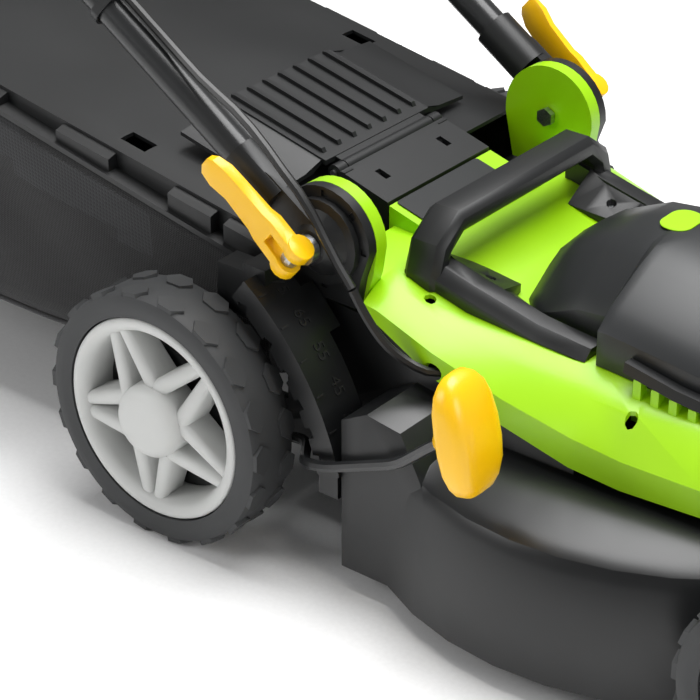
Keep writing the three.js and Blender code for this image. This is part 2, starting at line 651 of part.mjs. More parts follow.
// Flat bar with its trailing ends bent up.
function buildBlade() {
  const z = BLADE_Z - 3;
  const end = [[60, -26], [120, -24], [BLADE_R - 4, -22], [BLADE_R, -18], [BLADE_R, 12], [120, 14], [60, 26]];
  const bar = plate([...end, ...end.map(([x, y]) => [-x, -y])], z, z + 3);
  const lift = skin([
    [v3(130, 7, z + 0.6), v3(130, 13, z + 0.6), v3(130, 13, z + 2.4), v3(130, 7, z + 2.4)],
    [v3(BLADE_R - 3, 7, z + 0.6), v3(BLADE_R - 3, 22, z + 12), v3(BLADE_R - 3, 20, z + 14), v3(BLADE_R - 3, 7, z + 2.4)],
  ]);
  const other = geometryOf(lift).rotateZ(Math.PI);
  return cut(join(bar, lift, other), rodZ(0, 0, z - 2, z + 6, 4.6)).translate([BLADE_X, 0, 0]);
}
piece("blade", buildBlade(), STEEL);
piece("blade_washer", cut(rodZ(BLADE_X, 0, BLADE_Z - 6, BLADE_Z - 3 - GAP, 16, 24),
  rodZ(BLADE_X, 0, BLADE_Z - 7, BLADE_Z, 4.6, 16)), DARK_STEEL);
piece("blade_bolt", join(rodZ(BLADE_X, 0, BLADE_Z - 12, BLADE_Z - 6 - GAP, 9, 6),
  rodZ(BLADE_X, 0, BLADE_Z - 8, BLADE_Z + 3.6, 4, 12)), DARK_STEEL);

// ---------------------------------------------------------------- height setting
const P = REAR_PIVOT;
const SCALE = { x: -66, z: 43, r: 217, thick: 3, from: 13, to: 54 }; // arc of the numbered scale
const COMB_OUT = WHEEL_IN + 10;
const leverAngle = (notch) => LEVER_START + (notch * HEIGHT_SWEEP) / (HEIGHT_NOTCHES - 1);

function arcBand(r0, r1, from, to, y0, y1) {
  const s = new THREE.Shape();
  s.absarc(SCALE.x, SCALE.z, r1, rad(from), rad(to), false);
  s.absarc(SCALE.x, SCALE.z, r0, rad(to), rad(from), true);
  return slab(s, y0, y1, 9);
}

// Distance from the lever's pivot to the scale's arc, in the lever's direction.
function reach(deg, r) {
  const [c, s] = [Math.cos(rad(deg)), Math.sin(rad(deg))];
  const [ex, ez] = [P.x - SCALE.x, P.z - SCALE.z];
  const b = ex * c + ez * s;
  return -b + Math.sqrt(b * b - (ex * ex + ez * ez - r * r));
}

function buildQuadrant() {
  const band = arcBand(SCALE.r - SCALE.thick, SCALE.r, SCALE.from, SCALE.to, -COMB_OUT, -COMB_OUT + SCALE_W);
  const comb = arcBand(SCALE.r - 20, SCALE.r - 1, SCALE.from, SCALE.to, -COMB_OUT, -COMB_OUT + 4);
  const inner = arcBand(SCALE.r - 30, SCALE.r - 1, SCALE.from + 6, SCALE.to - 4, -COMB_OUT + SCALE_W - 4,
    -COMB_OUT + SCALE_W);
  const notches = [];
  for (let k = 0; k < HEIGHT_NOTCHES; k++) {
    const a = leverAngle(k);
    const d = reach(a, SCALE.r - 20);
    const [x, z] = polar(P, d - 6, a);
    const g = new THREE.BoxGeometry(22, 20, 8).rotateY(-rad(a)).translate(x, -COMB_OUT, z);
    notches.push(g);
  }
  const top = block([P.x - 14, -WHEEL_IN + SWING, 182], [P.x + 22, -COMB_OUT + SCALE_W - 6, 218]);
  const topHollow = block([P.x - 15, -WHEEL_IN + SWING + 3, 186], [P.x + 16, -COMB_OUT + SCALE_W - 9, 214]);
  const link = block([P.x + 10, -WHEEL_IN + SWING, 196], [P.x + 30, -COMB_OUT + SCALE_W - 6, 224]);
  const foot = block([P.x + 84, -COMB_OUT + 4, 70], [P.x + 101, -COMB_OUT + SCALE_W, 96]);
  const arm = block([P.x + 30, -COMB_OUT + SCALE_W - 6, 180], [P.x + 48, -SADDLE_HALF - GAP, 190]);
  const armWeb = arcBand(SCALE.r - 34, SCALE.r - 1, 38, 48, -COMB_OUT + SCALE_W - 6, -RING_OUT - 2 * GAP);
  return cut(join(band, comb, inner, top, link, foot, armWeb, arm), ...notches, topHollow);
}
piece("height_quadrant", buildQuadrant(), BLACK);

// A crank axle, one bent rod: a bar through the pivot, and at both ends an arm and a wheel's stub.
function crankAxle(pivot) {
  const wheel = { x: pivot.x - CRANK_BACK, z: pivot.z + CRANK_UP };
  return bentRod([
    v3(wheel.x, -TRACK + 12, wheel.z), v3(wheel.x, -CRANK_Y, wheel.z), v3(pivot.x, -CRANK_Y, pivot.z),
    v3(pivot.x, CRANK_Y, pivot.z), v3(wheel.x, CRANK_Y, wheel.z), v3(wheel.x, TRACK - 12, wheel.z),
  ], AXLE_R, 6, 8);
}

const LINK_ARM = 78;
const LINK_ANGLE = 56;
const LINK_Y = CRANK_Y - 8; // plane of the link arms
const linkTip = (pivot) => polar(pivot, LINK_ARM, LINK_ANGLE);

function buildCrank(pivot) {
  const [x, z] = linkTip(pivot);
  const arm = strap([pivot.x, pivot.z], [x, z], 9, LINK_Y - 2, LINK_Y + 2);
  const eye = rodY(x, z, LINK_Y - 5, LINK_Y + 5, 4.8, 8);
  return cut(join(crankAxle(pivot), arm), eye);
}
piece("rear_axle", buildCrank(REAR_PIVOT), STEEL);
piece("front_axle", buildCrank(FRONT_PIVOT), STEEL);

function buildLink() {
  const [[ax, az], [bx, bz]] = [linkTip(REAR_PIVOT), linkTip(FRONT_PIVOT)];
  const y = LINK_Y - 7;
  const pin = (x, z) => rodY(x, z, y - 5, LINK_Y + 4.5, 4, 12);
  return join(rod(v3(ax, y, az), v3(bx, y, bz), 3.6, 10), pin(ax, az), pin(bx, bz));
}
piece("height_link_rod", buildLink(), STEEL);

// Lever from the rear axle, past the comb, out to the knob: [x, y, z].
const LEVER_PATH = [
  [P.x + 8, -CRANK_Y + 10, P.z + 1.7], [P.x + 54, -CRANK_Y + 10, P.z + 10], [P.x + 80, -COMB_OUT - 7.5, P.z + 18],
  [P.x + 100, -COMB_OUT - 8, P.z + 22], [P.x + 168, -COMB_OUT - 14, P.z + 54], [P.x + 203, -COMB_OUT - 22, P.z + 86],
  [P.x + 216, -COMB_OUT - 24, P.z + 96],
];

function buildLever() {
  const arm = bentRod(LEVER_PATH.map(([x, y, z]) => v3(x, y, z)), 4, 12, 8);
  const sleeve = rodY(P.x, P.z, -CRANK_Y + 7, -CRANK_Y + 17, 9.5, 14);
  const bore = rodY(P.x, P.z, -CRANK_Y + 5, -CRANK_Y + 19, AXLE_R + GAP, 10);
  return cut(join(arm, sleeve), bore);
}
piece("height_lever_rod", buildLever(), DARK_STEEL);

// Knob: a curved pad on a short neck, as an outline with a crowned front.
const KNOB = { x: P.x + 232, z: P.z + 110, half: 25, tall: 86, lean: 12 };

function knobRing(q, w, back, front) {
  const c = 5;
  return [
    v3(-back, -w + c, q), v3(-back, w - c, q), v3(-back + 3, w, q), v3(front - 6, w, q),
    v3(front, w - 2 * c, q), v3(front, -w + 2 * c, q), v3(front - 6, -w, q), v3(-back + 3, -w, q),
  ];
}

function buildKnob() {
  const t = KNOB.tall / 2;
  const rows = [[-t, 12, 2, 4], [-t + 3, 17, 4, 8], [-t + 14, 22, 6, 9], [-14, 25, 7, 9], [14, 25, 7, 9],
    [t - 14, 22, 6, 9], [t - 3, 17, 4, 8], [t, 12, 2, 4]];
  const pad = geometryOf(skin(rows.map(([q, w, b, f]) => knobRing(q, w, b, f))));
  pad.rotateY(-rad(KNOB.lean)).translate(KNOB.x, -COMB_OUT - 30, KNOB.z);
  const end = LEVER_PATH[LEVER_PATH.length - 1];
  const before = LEVER_PATH[LEVER_PATH.length - 2];
  const dir = v3(end[0] - before[0], end[1] - before[1], end[2] - before[2]).normalize();
  const tip = v3(...end);
  const neck = rod(tip.clone().addScaledVector(dir, -9), tip.clone().addScaledVector(dir, 16), 10, 16);
  const bore = rod(tip.clone().addScaledVector(dir, -14), tip.clone().addScaledVector(dir, 0.6), 4.6, 14);
  return cut(join(pad, neck), bore);
}
piece("height_lever_knob", buildKnob(), YELLOW);

// ---------------------------------------------------------------- wheels
const STAR_POINTS = 5;
const HUB_CAP = 11; // hub cap beyond the rim face

// Wheel shapes lie along +Z with the outer face at z = 0.
function rimShape(tyreR) {
  const r = tyreR - 21; // outside of the rim, inside the tyre
  const rim = turned([
    [0, HUB_CAP], [20, HUB_CAP - 2], [27, 3], [26, -12], [18, -20], [r - 8, -20],
    [r - 6, -3], [r - 2, -1], [r, -3], [r, -WHEEL_W + 2], [r - 6, -24], [17, -30],
    [15, -WHEEL_W + 1], [0, -WHEEL_W + 1],
  ], 16);
  const arms = [];
  for (let k = 0; k < STAR_POINTS; k++) {
    const tip = (k * 2 * Math.PI) / STAR_POINTS;
    for (const s of [-1, 1]) {
      const root = tip + s * 0.5;
      const a = new THREE.Vector2(24 * Math.cos(root), 24 * Math.sin(root));
      const b = new THREE.Vector2((r - 5) * Math.cos(tip), (r - 5) * Math.sin(tip));
      const n = b.clone().sub(a).normalize().multiplyScalar(3);
      const side = new THREE.Vector2(-n.y, n.x);
      arms.push(plate([
        [a.x - side.x, a.y - side.y], [b.x - side.x, b.y - side.y],
        [b.x + side.x, b.y + side.y], [a.x + side.x, a.y + side.y],
      ], -26, -5));
    }
  }
  const bore = rodZ(0, 0, -WHEEL_W - 2, -10, AXLE_R + 1.3, 12);
  return cut(join(rim, ...arms), bore);
}

function tyreShape(tyreR) {
  const r = tyreR - 21 + 2 * GAP;
  return turned([
    [r, -1], [tyreR - 5, 0], [tyreR, -6], [tyreR, -WHEEL_W + 6], [tyreR - 5, -WHEEL_W], [r, -WHEEL_W + 1],
  ], 30);
}

function placeWheel(shape, side, x, z) {
  const g = shape.isBufferGeometry ? shape.clone() : geometryOf(shape);
  return g.rotateX(side < 0 ? Math.PI / 2 : -Math.PI / 2).translate(x, side * TRACK, z);
}

for (const [where, tyreR, x] of [["rear", REAR_R, 0], ["front", FRONT_R, FRONT_X]]) {
  for (const [side, name] of SIDES) {
    piece(`${where}_wheel_rim_${name}`, placeWheel(rimShape(tyreR), side, x, tyreR), RIM_GREY);
    piece(`${where}_tyre_${name}`, placeWheel(tyreShape(tyreR), side, x, tyreR), TYRE);
  }
}

// ---------------------------------------------------------------- rear bridge and flap
const HINGE = { x: 30, z: 241.5, r: 2.5 };
const FLAP_HALF = 62;
const WING_HALF = 112;
const FLAP_END = -75;
const flapTop = (x) => 247 + (HINGE.x - x) * 0.235;

function buildBridge() {
  const top = slab([[HINGE.x + 8, 238], [HINGE.x + 6, 244.5], [79.5, 232.3], [79.5, 198], [52, 198], [52, 238]],
    -FLAP_HALF, FLAP_HALF);
  const inside = block([56, -FLAP_HALF + 4, 190], [75.5, FLAP_HALF - 4, 227]);
  const lugs = [-1, 1].map((s) => join(
    rodY(HINGE.x, HINGE.z, s > 0 ? 52 : -FLAP_HALF, s > 0 ? FLAP_HALF : -52, 6, 18),
    block([HINGE.x, s > 0 ? 52 : -FLAP_HALF, 238], [HINGE.x + 10, s > 0 ? FLAP_HALF : -52, 244]),
  ));
  const bore = rodY(HINGE.x, HINGE.z, -70, 70, HINGE.r + GAP, 14);
  const slots = [-37, 37].map((y) => block([50, y - 3, 234], [61, y + 3, 250]));
  return cut(join(top, ...lugs), inside, bore, ...slots);
}
piece("rear_bridge", buildBridge(), BLACK);
piece("flap_hinge_rod", rodY(HINGE.x, HINGE.z, -FLAP_HALF - 2, FLAP_HALF + 2, HINGE.r, 14), STEEL);

function buildFlap() {
  const line = (x, dz) => [x, flapTop(x) + dz];
  const tongue = slab([line(HINGE.x + 2, -0.6), line(HINGE.x - 12, -0.6), line(HINGE.x - 12, -3.4), line(HINGE.x + 2, -3.4)],
    -50.5, 50.5);
  const wide = slab([line(HINGE.x - 8, 0), line(FLAP_END, 0), line(FLAP_END, -4), line(HINGE.x - 8, -4)],
    -FLAP_HALF, FLAP_HALF);
  const wings = [-1, 1].map((s) => {
    const ring = (x) => [
      v3(x, s * (FLAP_HALF - 3), flapTop(x) - 0.5), v3(x, s * (FLAP_HALF + 12), flapTop(x) - 6),
      v3(x, s * WING_HALF, flapTop(x) - 9), v3(x, s * WING_HALF, flapTop(x) - 12),
      v3(x, s * (FLAP_HALF + 10), flapTop(x) - 9.5), v3(x, s * (FLAP_HALF - 3), flapTop(x) - 3.6),
    ];
    return skin([ring(FLAP_END + 0.4), ring(HINGE.x - 12)]);
  });
  const barrel = rodY(HINGE.x, HINGE.z, -51, 51, 6, 18);
  const bore = rodY(HINGE.x, HINGE.z, -60, 60, HINGE.r + GAP, 14);
  return cut(join(tongue, wide, ...wings, barrel), bore);
}
piece("rear_flap", buildFlap(), BLACK);

// ---------------------------------------------------------------- grass bag
const BAG_FRONT = SADDLE_BACK - 4;
const BAG_BACK = BAG_FRONT - BAG_LENGTH;
const lidTop = (x) => 236.8 - 0.1667 * x;
const railTop = (x) => Math.min(218 - 0.2018 * x, lidTop(x) - 2);
const LID_HALF = BAG_HALF - 10;

// A section of the bag: flat top, round lower corners.
function bagRing(x, half, floor, top, inset) {
  const [h, f, c] = [half - inset, floor + inset, 26];
  const pts = [[h, top], [h, f + c], [h - c * 0.3, f + c * 0.3], [h - c, f]];
  const left = pts.map(([y, z]) => v3(x, y, z));
  const right = pts.map(([y, z]) => v3(x, -y, z)).reverse();
  return [...left, ...right];
}

function buildBag() {
  const b = BAG_BACK;
  const rows = [
    [BAG_FRONT, BAG_HALF - 8, CHUTE_LIP + 1], [20, BAG_HALF - 1, CHUTE_LIP - 3], [-60, BAG_HALF, 88],
    [-198, BAG_HALF, BAG_FLOOR], [b + 90, BAG_HALF - 2, BAG_FLOOR], [b + 18, BAG_HALF - 8, BAG_FLOOR + 10],
    [b, BAG_HALF - 18, BAG_FLOOR + 24],
  ];
  const outer = skin(rows.map(([x, h, f]) => bagRing(x, h, f, railTop(x) - 6, 0)));
  const deep = rows.map((r) => [...r]);
  deep[0][0] += 4;
  deep[deep.length - 1][0] += CLOTH;
  const inner = skin(deep.map(([x, h, f]) => bagRing(x, h, f, railTop(x) + 6, CLOTH)));
  return cut(outer, inner);
}
piece("bag_fabric", buildBag(), FABRIC);

function lidRing(x, inset) {
  const [top, rail] = [lidTop(x) - inset, railTop(x) - 5 - (inset ? 3 : 0)];
  return [
    v3(x, LID_HALF - 20, top), v3(x, LID_HALF - inset, top - 1), v3(x, LID_HALF - inset, rail),
    v3(x, -LID_HALF + inset, rail), v3(x, -LID_HALF + inset, top - 1), v3(x, -LID_HALF + 20, top),
  ];
}

function railStrip(side) {
  const [a, b] = [side * (LID_HALF - 2), side * (BAG_HALF + 3)];
  const ring = (x) => [v3(x, a, railTop(x) - 5), v3(x, b, railTop(x) - 5), v3(x, b, railTop(x) - 1), v3(x, a, railTop(x))];
  return skin([ring(BAG_FRONT - 2), ring(BAG_BACK + 6)]);
}

function clipTab(side, x0, x1) {
  const [a, b] = [side * (LID_HALF - 2), side * (LID_HALF + 9)];
  const ring = (x) => [v3(x, a, railTop(x) - 3), v3(x, b, railTop(x) - 3), v3(x, b, lidTop(x) - 6), v3(x, a, lidTop(x) - 3)];
  return skin([ring(x0), ring(x1)]);
}

function buildLid() {
  const outer = skin([lidRing(BAG_FRONT, 0), lidRing(BAG_BACK, 0)]);
  const inner = skin([lidRing(BAG_FRONT + 4, 3), lidRing(BAG_BACK + 3, 3)]);
  const clips = [[7, 45], [-46, -5], [-157, -104], [-268, -215], [-379, -326]];
  const tabs = clips.flatMap(([a, b]) => [clipTab(-1, a, b), clipTab(1, a, b)]);
  const holes = [-1, 1].map((s) => block([-112, s * 130 - 7, 240], [-88, s * 130 + 7, 280]));
  return cut(join(cut(outer, inner), railStrip(-1), railStrip(1), ...tabs), ...holes);
}
piece("bag_lid", buildLid(), BLACK);

function buildBagGrip() {
  const x = BAG_BACK + 70;
  const z = lidTop(x) + 2.4;
  const loop = bentRod([v3(x, -62, z + 2), v3(x, -56, z + 34), v3(x, 56, z + 34), v3(x, 62, z + 2)], 8, 18, 8);
  const feet = [-1, 1].map((s) => block([x - 14, s * 62 - 12, z + 2], [x + 14, s * 62 + 12, z + 6]));
  return join(loop, ...feet);
}
piece("bag_grip", buildBagGrip(), BLACK);

// ---------------------------------------------------------------- handle brackets
const H = HANDLE_PIVOT;
const lowerDir = v3(-Math.cos(rad(HANDLE_ANGLE)), 0, Math.sin(rad(HANDLE_ANGLE)));
const upperDir = v3(-Math.cos(rad(UPPER_ANGLE)), 0, Math.sin(rad(UPPER_ANGLE)));
const across = (dir) => v3(dir.z, 0, -dir.x); // square to a handle's direction, on its upper side
const hinge = (y) => v3(H.x, y, H.z);
const onLower = (s, y, off = 0) => hinge(y).addScaledVector(lowerDir, s).addScaledVector(across(lowerDir), off);
const J = onLower(LOWER_LENGTH, 0);
const onUpper = (s, y, off = 0) =>
  v3(J.x, y, J.z).addScaledVector(upperDir, s).addScaledVector(across(upperDir), off);
const SOCKET_FROM = DRUM_R + 1.5;
const SOCKET_LENGTH = 44;

// Fixed black post with a toothed ring round the handle axis.
function buildDrum() {
  const s = new THREE.Shape();
  s.moveTo(H.x - 28, 193);
  s.lineTo(H.x - DRUM_R, H.z - 6);
  s.absarc(H.x, H.z, DRUM_R, Math.PI, 0, true);
  s.lineTo(H.x + DRUM_R - 7.5, H.z - 22);
  s.lineTo(H.x + 28, 193);
  const post = slab(s, -RING_OUT, -TOWER_OUT, 8);
  const hole = rodY(H.x, H.z, -RING_OUT - 2, -TOWER_OUT + 2, BOLT_R + GAP, 10);
  const teeth = [];
  for (let i = 0; i < 8; i++) {
    const [x, z] = polar(H, DRUM_R - 5, i * 45);
    teeth.push(new THREE.BoxGeometry(5, 3, 5).rotateY(-rad(i * 45)).translate(x, -RING_OUT, z));
  }
  return cut(post, hole, ...teeth);
}
for (const [side, name] of SIDES) piece(`handle_post_${name}`, onSide(side, buildDrum()), BLACK);


// Turning bracket: a disc with a round boss, and the socket that the tube is pushed into.
function buildBracket() {
  const inner = RING_OUT + GAP;
  const disc = rodY(H.x, H.z, -inner - 5, -inner, DRUM_R - 8, 20);
  const boss = turned([[0, -BRACKET_OUT], [13, -BRACKET_OUT], [26, -inner - 4], [26, -inner - 1], [0, -inner - 1]], 20)
    .rotateX(-Math.PI / 2).translate(H.x, 0, H.z);
  const arm = strap([H.x, H.z], [onLower(SOCKET_FROM + 12, 0).x, onLower(SOCKET_FROM + 12, 0).z], 15,
    -BRACKET_OUT + 3, -inner - 0.5);
  const socket = rod(onLower(SOCKET_FROM, -HANDLE_Y), onLower(SOCKET_FROM + SOCKET_LENGTH, -HANDLE_Y), TUBE_R + 3.6, 14);
  const bore = rod(onLower(SOCKET_FROM + 4, -HANDLE_Y), onLower(SOCKET_FROM + SOCKET_LENGTH + 2, -HANDLE_Y),
    TUBE_R + 0.9, 14);
  const hole = rodY(H.x, H.z, -BRACKET_OUT - 2, -inner + 2, BOLT_R + GAP, 10);
  return cut(join(disc, boss, arm, socket), bore, hole);
}
for (const [side, name] of SIDES) piece(`handle_bracket_${name}`, onSide(side, buildBracket()), BLACK);

// ---------------------------------------------------------------- handle tubes
function buildLowerTube() {
  const flat = onLower(LOWER_LENGTH - 34, -HANDLE_Y);
  const wall = [onLower(SOCKET_FROM + 5, -HANDLE_Y), onLower(LOWER_LENGTH - 30, -HANDLE_Y)];
  const tube = rod(wall[0], wall[1], TUBE_R, 14);
  const bore = rod(onLower(SOCKET_FROM, -HANDLE_Y), flat, TUBE_R - TUBE_WALL, 10);
  const end = strap([onLower(LOWER_LENGTH - 44, 0).x, onLower(LOWER_LENGTH - 44, 0).z], [J.x, J.z], EAR_HALF,
    -HANDLE_Y - FLAT / 2, -HANDLE_Y + FLAT / 2);
  const hole = rodY(J.x, J.z, -HANDLE_Y - 8, -HANDLE_Y + 8, BOLT_R + GAP, 10);
  return cut(join(cut(tube, bore), end), hole);
}
for (const [side, name] of SIDES) piece(`lower_tube_${name}`, onSide(side, buildLowerTube()), DARK_STEEL);

const TUBE_CORNER = 60;

function buildUpperTube() {
  const run = (s0, r, sides) => bentRod([
    onUpper(s0, -UPPER_Y), onUpper(UPPER_LENGTH, -UPPER_Y), onUpper(UPPER_LENGTH, UPPER_Y), onUpper(s0, UPPER_Y),
  ], r, TUBE_CORNER, sides);
  const ends = [-1, 1].map((s) => strap([J.x, J.z], [onUpper(44, 0).x, onUpper(44, 0).z], EAR_HALF,
    s * UPPER_Y - FLAT / 2, s * UPPER_Y + FLAT / 2));
  const holes = rodY(J.x, J.z, -UPPER_Y - 8, UPPER_Y + 8, BOLT_R + GAP, 10);
  const drains = [-1, 1].map((s) => rod(onUpper(56, s * UPPER_Y, 0), onUpper(56, s * UPPER_Y, -20), 2, 10));
  const bailHole = rod(bailPivot(UPPER_Y - TUBE_R - 3), bailPivot(UPPER_Y - 2), BAIL_R + GAP, 14);
  return cut(join(cut(run(30, TUBE_R, 10), run(34, TUBE_R - TUBE_WALL, 6)), ...ends), holes, ...drains, bailHole);
}

const bailPivot = (y) => onUpper(UPPER_LENGTH - BAIL_ARM + 3, y, 0);
piece("upper_handle_tube", buildUpperTube(), DARK_STEEL);

function buildGripSleeve() {
  const at = (y) => onUpper(UPPER_LENGTH, y);
  const half = UPPER_Y - TUBE_CORNER - 4;
  return cut(rod(at(-half), at(half), GRIP_R, 18), rod(at(-half - 2), at(half + 2), TUBE_R + 0.9, 14));
}
piece("grip_sleeve", buildGripSleeve(), FOAM);

// A box in the upper handle's own directions: along the tube, across and up from it.
function handleBox([s0, s1], [y0, y1], [n0, n1]) {
  const turn = new THREE.Matrix4().makeBasis(upperDir, v3(0, 1, 0), v3().crossVectors(upperDir, v3(0, 1, 0)));
  const box = new THREE.BoxGeometry(s1 - s0, y1 - y0, n1 - n0).applyMatrix4(turn);
  const c = onUpper((s0 + s1) / 2, (y0 + y1) / 2, (n0 + n1) / 2);
  return box.translate(c.x, c.y, c.z);
}

const BOX = { from: UPPER_LENGTH - 165, to: UPPER_LENGTH - 60, yOut: UPPER_Y - TUBE_R - 0.6, wide: 52, deep: 24 };

function buildSwitchBox() {
  const [a, b] = [-BOX.yOut, -BOX.yOut + BOX.wide];
  const shell = handleBox([BOX.from, BOX.to], [a, b], [-BOX.deep, BOX.deep]);
  const hollow = handleBox([BOX.from + 3, BOX.to - 3], [a + 3, b - 3], [-BOX.deep - 1, BOX.deep - 3]);
  const pad = buttonPlace();
  const hole = rod(pad.clone().addScaledVector(across(upperDir), -30), pad.clone().addScaledVector(across(upperDir), 10),
    9.6, 20);
  const pivot = rod(bailPivot(b - 14), bailPivot(b + 4), BAIL_R + GAP, 14);
  const inlet = rod(onUpper(BOX.from - 4, (a + b) / 2 + 8), onUpper(BOX.from + 10, (a + b) / 2 + 8), 13.4, 20);
  const entry = rod(onUpper(BOX.from - 4, a + 10), onUpper(BOX.from + 10, a + 10), CABLE_R + 2, 12);
  return cut(shell, hollow, hole, pivot, inlet, entry);
}

function buttonPlace() {
  return onUpper((BOX.from + BOX.to) / 2 - 14, -BOX.yOut + BOX.wide / 2, BOX.deep);
}
piece("switch_box", buildSwitchBox(), BLACK);

function buildButton() {
  const p = buttonPlace();
  const up = across(upperDir);
  return rod(p.clone().addScaledVector(up, -14), p.clone().addScaledVector(up, 7), 9, 20);
}
piece("safety_button", buildButton(), YELLOW);

function buildInlet() {
  const y = -BOX.yOut + BOX.wide / 2 + 8;
  const body = rod(onUpper(BOX.from - 34, y), onUpper(BOX.from + 8, y), 13, 14);
  const collar = rod(onUpper(BOX.from - 8, y), onUpper(BOX.from - GAP, y), 16, 14);
  const mouth = rod(onUpper(BOX.from - 36, y), onUpper(BOX.from - 14, y), 10.5, 12);
  const pins = [-1, 1].map((s) => rod(onUpper(BOX.from - 30, y + s * 4), onUpper(BOX.from - 12, y + s * 4), 2, 6));
  return join(cut(join(body, collar), mouth), ...pins);
}
piece("mains_inlet", buildInlet(), BLACK);

// Hook for the loop of an extension lead.
function buildHook() {
  const s0 = UPPER_LENGTH - 255;
  const ring = cut(rod(onUpper(s0, -UPPER_Y), onUpper(s0 + 16, -UPPER_Y), TUBE_R + 3.4, 14),
    rod(onUpper(s0 - 2, -UPPER_Y), onUpper(s0 + 18, -UPPER_Y), TUBE_R + 0.9, 14));
  const y = -UPPER_Y + TUBE_R + 1.6;
  const s = s0 + 8;
  const arm = bentRod([onUpper(s, y), onUpper(s, y + 34), onUpper(s, y + 34, -26), onUpper(s, y + 14, -26)], 4, 9, 8);
  return join(ring, arm);
}
piece("cord_hook", buildHook(), BLACK);

function buildBail() {
  const rest = rad(48);
  const arm = (y, d) => {
    const u = upperDir.clone().applyAxisAngle(v3(0, 1, 0), rest);
    return bailPivot(y).addScaledVector(u, d);
  };
  const a = -BOX.yOut + BOX.wide;
  const b = UPPER_Y - TUBE_R;
  return bentRod([
    bailPivot(a - 10), bailPivot(a + 9), arm(a + 9, BAIL_ARM), arm(b - 8, BAIL_ARM), bailPivot(b - 8), bailPivot(b + 7),
  ], BAIL_R, 6, 8);
}
piece("bail_lever", buildBail(), YELLOW);

// ---------------------------------------------------------------- clamp levers and their bolts
const camDir = v3(-Math.cos(rad(CAM_ANGLE)), 0, Math.sin(rad(CAM_ANGLE)));
const camPin = across(camDir);

// Lever on the right side, its pin through `c`: two round lobes, and an arm that lies along the handle.
function camLever(c) {
  const at = (s, o, n) => c.clone().addScaledVector(camDir, s).add(v3(0, -o, 0)).addScaledVector(camPin, n);
  const ring = (s, low, high, w) => [at(s, low, -w), at(s, high, -w + 2), at(s, high, w - 2), at(s, low, w)];
  const lobe = rod(at(0, 0, -14), at(0, 0, 14), CAM_R, 14);
  const arm = skin([ring(0, -3, 8, 14), ring(26, -2, 8, 14), ring(34, -1, 8, 12), ring(60, 1, 9, 11), ring(74, 4, 12, 12),
    ring(CAM_ARM - 4, 7, 13, 10), ring(CAM_ARM, 8, 12, 6)]);
  const slot = skin([
    [at(-14, -14, -5), at(-14, 14, -5), at(-14, 14, 5), at(-14, -14, 5)],
    [at(20, -14, -5), at(20, 14, -5), at(20, 14, 5), at(20, -14, 5)],
  ]);
  const pin = rod(at(0, 0, -13), at(0, 0, 13), 3, 8);
  return join(cut(join(lobe, arm), slot), pin);
}

// Bolt on the right side: head inside, shank, pressure collar, and an eye round the lever's pin.
function clampBolt(place, headY, collarY, pinY) {
  const c = place(-pinY);
  const shank = rod(place(-headY), place(-pinY + 4), BOLT_R, 8);
  const head = rod(place(-headY + 5), place(-headY), 7.5, 6);
  const collar = rod(place(-collarY), place(-pinY + CAM_R + GAP), 10.5, 12);
  const eye = rod(c.clone().addScaledVector(camPin, -4.4), c.clone().addScaledVector(camPin, 4.4), 6.5, 10);
  const bore = rod(c.clone().addScaledVector(camPin, -6), c.clone().addScaledVector(camPin, 6), 3 + 2 * GAP, 8);
  return cut(join(shank, head, collar, eye), bore);
}

for (const [side, name] of SIDES) {
  piece(`handle_bolt_${name}`, onSide(side, clampBolt(hinge, TOWER_IN - 1, BRACKET_OUT + GAP, LEVER_Y)), STEEL);
  piece(`clamp_lever_lower_${name}`, onSide(side, camLever(hinge(-LEVER_Y))), YELLOW);
  const joint = (y) => v3(J.x, y, J.z);
  const inside = UPPER_Y - FLAT / 2 - GAP;
  piece(`upper_bolt_${name}`,
    onSide(side, clampBolt(joint, inside, HANDLE_Y + FLAT / 2 + GAP, UPPER_LEVER_Y)), STEEL);
  piece(`clamp_lever_upper_${name}`, onSide(side, camLever(joint(-UPPER_LEVER_Y))), YELLOW);
}

// ---------------------------------------------------------------- cable
const LOWER_ROUTE = [
  [133.2, -170.5, 224.3], [126.7, -171, 232.6], [118, -171.5, 244.5], [108.2, -171, 257.5], [99, -170, 269],
  [86, -169, 282], [67.6, -167, 295], [50, -164, 307], [26.6, -161, 320.5], [-12, -156, 335],
];
const LOWER_STATIONS = [170, 230, 300, 380, 440];
const UPPER_STATIONS = [30, 90, 180, 280, 360, 410];
const CABLE_OFF = EAR_HALF + CABLE_R + 1;

const lowerRoute = [...LOWER_ROUTE.map((p) => v3(...p)),
  ...LOWER_STATIONS.map((s) => onLower(s, -HANDLE_Y, CABLE_OFF))];
const upperRoute = [onLower(442, -HANDLE_Y, CABLE_OFF), onLower(470, -HANDLE_Y + 3, CABLE_OFF + 5),
  ...UPPER_STATIONS.map((s) => onUpper(s, -UPPER_Y, CABLE_OFF + 2)),
  onUpper(BOX.from - 12, -BOX.yOut + 9, 5), onUpper(BOX.from + 2, -BOX.yOut + 10, 0)];
piece("cable_tail", softRod(TAIL_ROUTE.map((p) => v3(...p)), CABLE_R, 8, 14), BLACK);
piece("cable_lower", softRod(lowerRoute, CABLE_R, 8, 26), BLACK);
piece("cable_upper", softRod(upperRoute, CABLE_R, 8, 26), BLACK);

// ---------------------------------------------------------------- the part's frame
const box = new THREE.Box3().setFromObject(mower);
mower.position.set(-(box.min.x + box.max.x) / 2, -(box.min.y + box.max.y) / 2, -box.min.z);

export default mower;
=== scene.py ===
import math

import bmesh
import bpy
from mathutils import Matrix, Vector


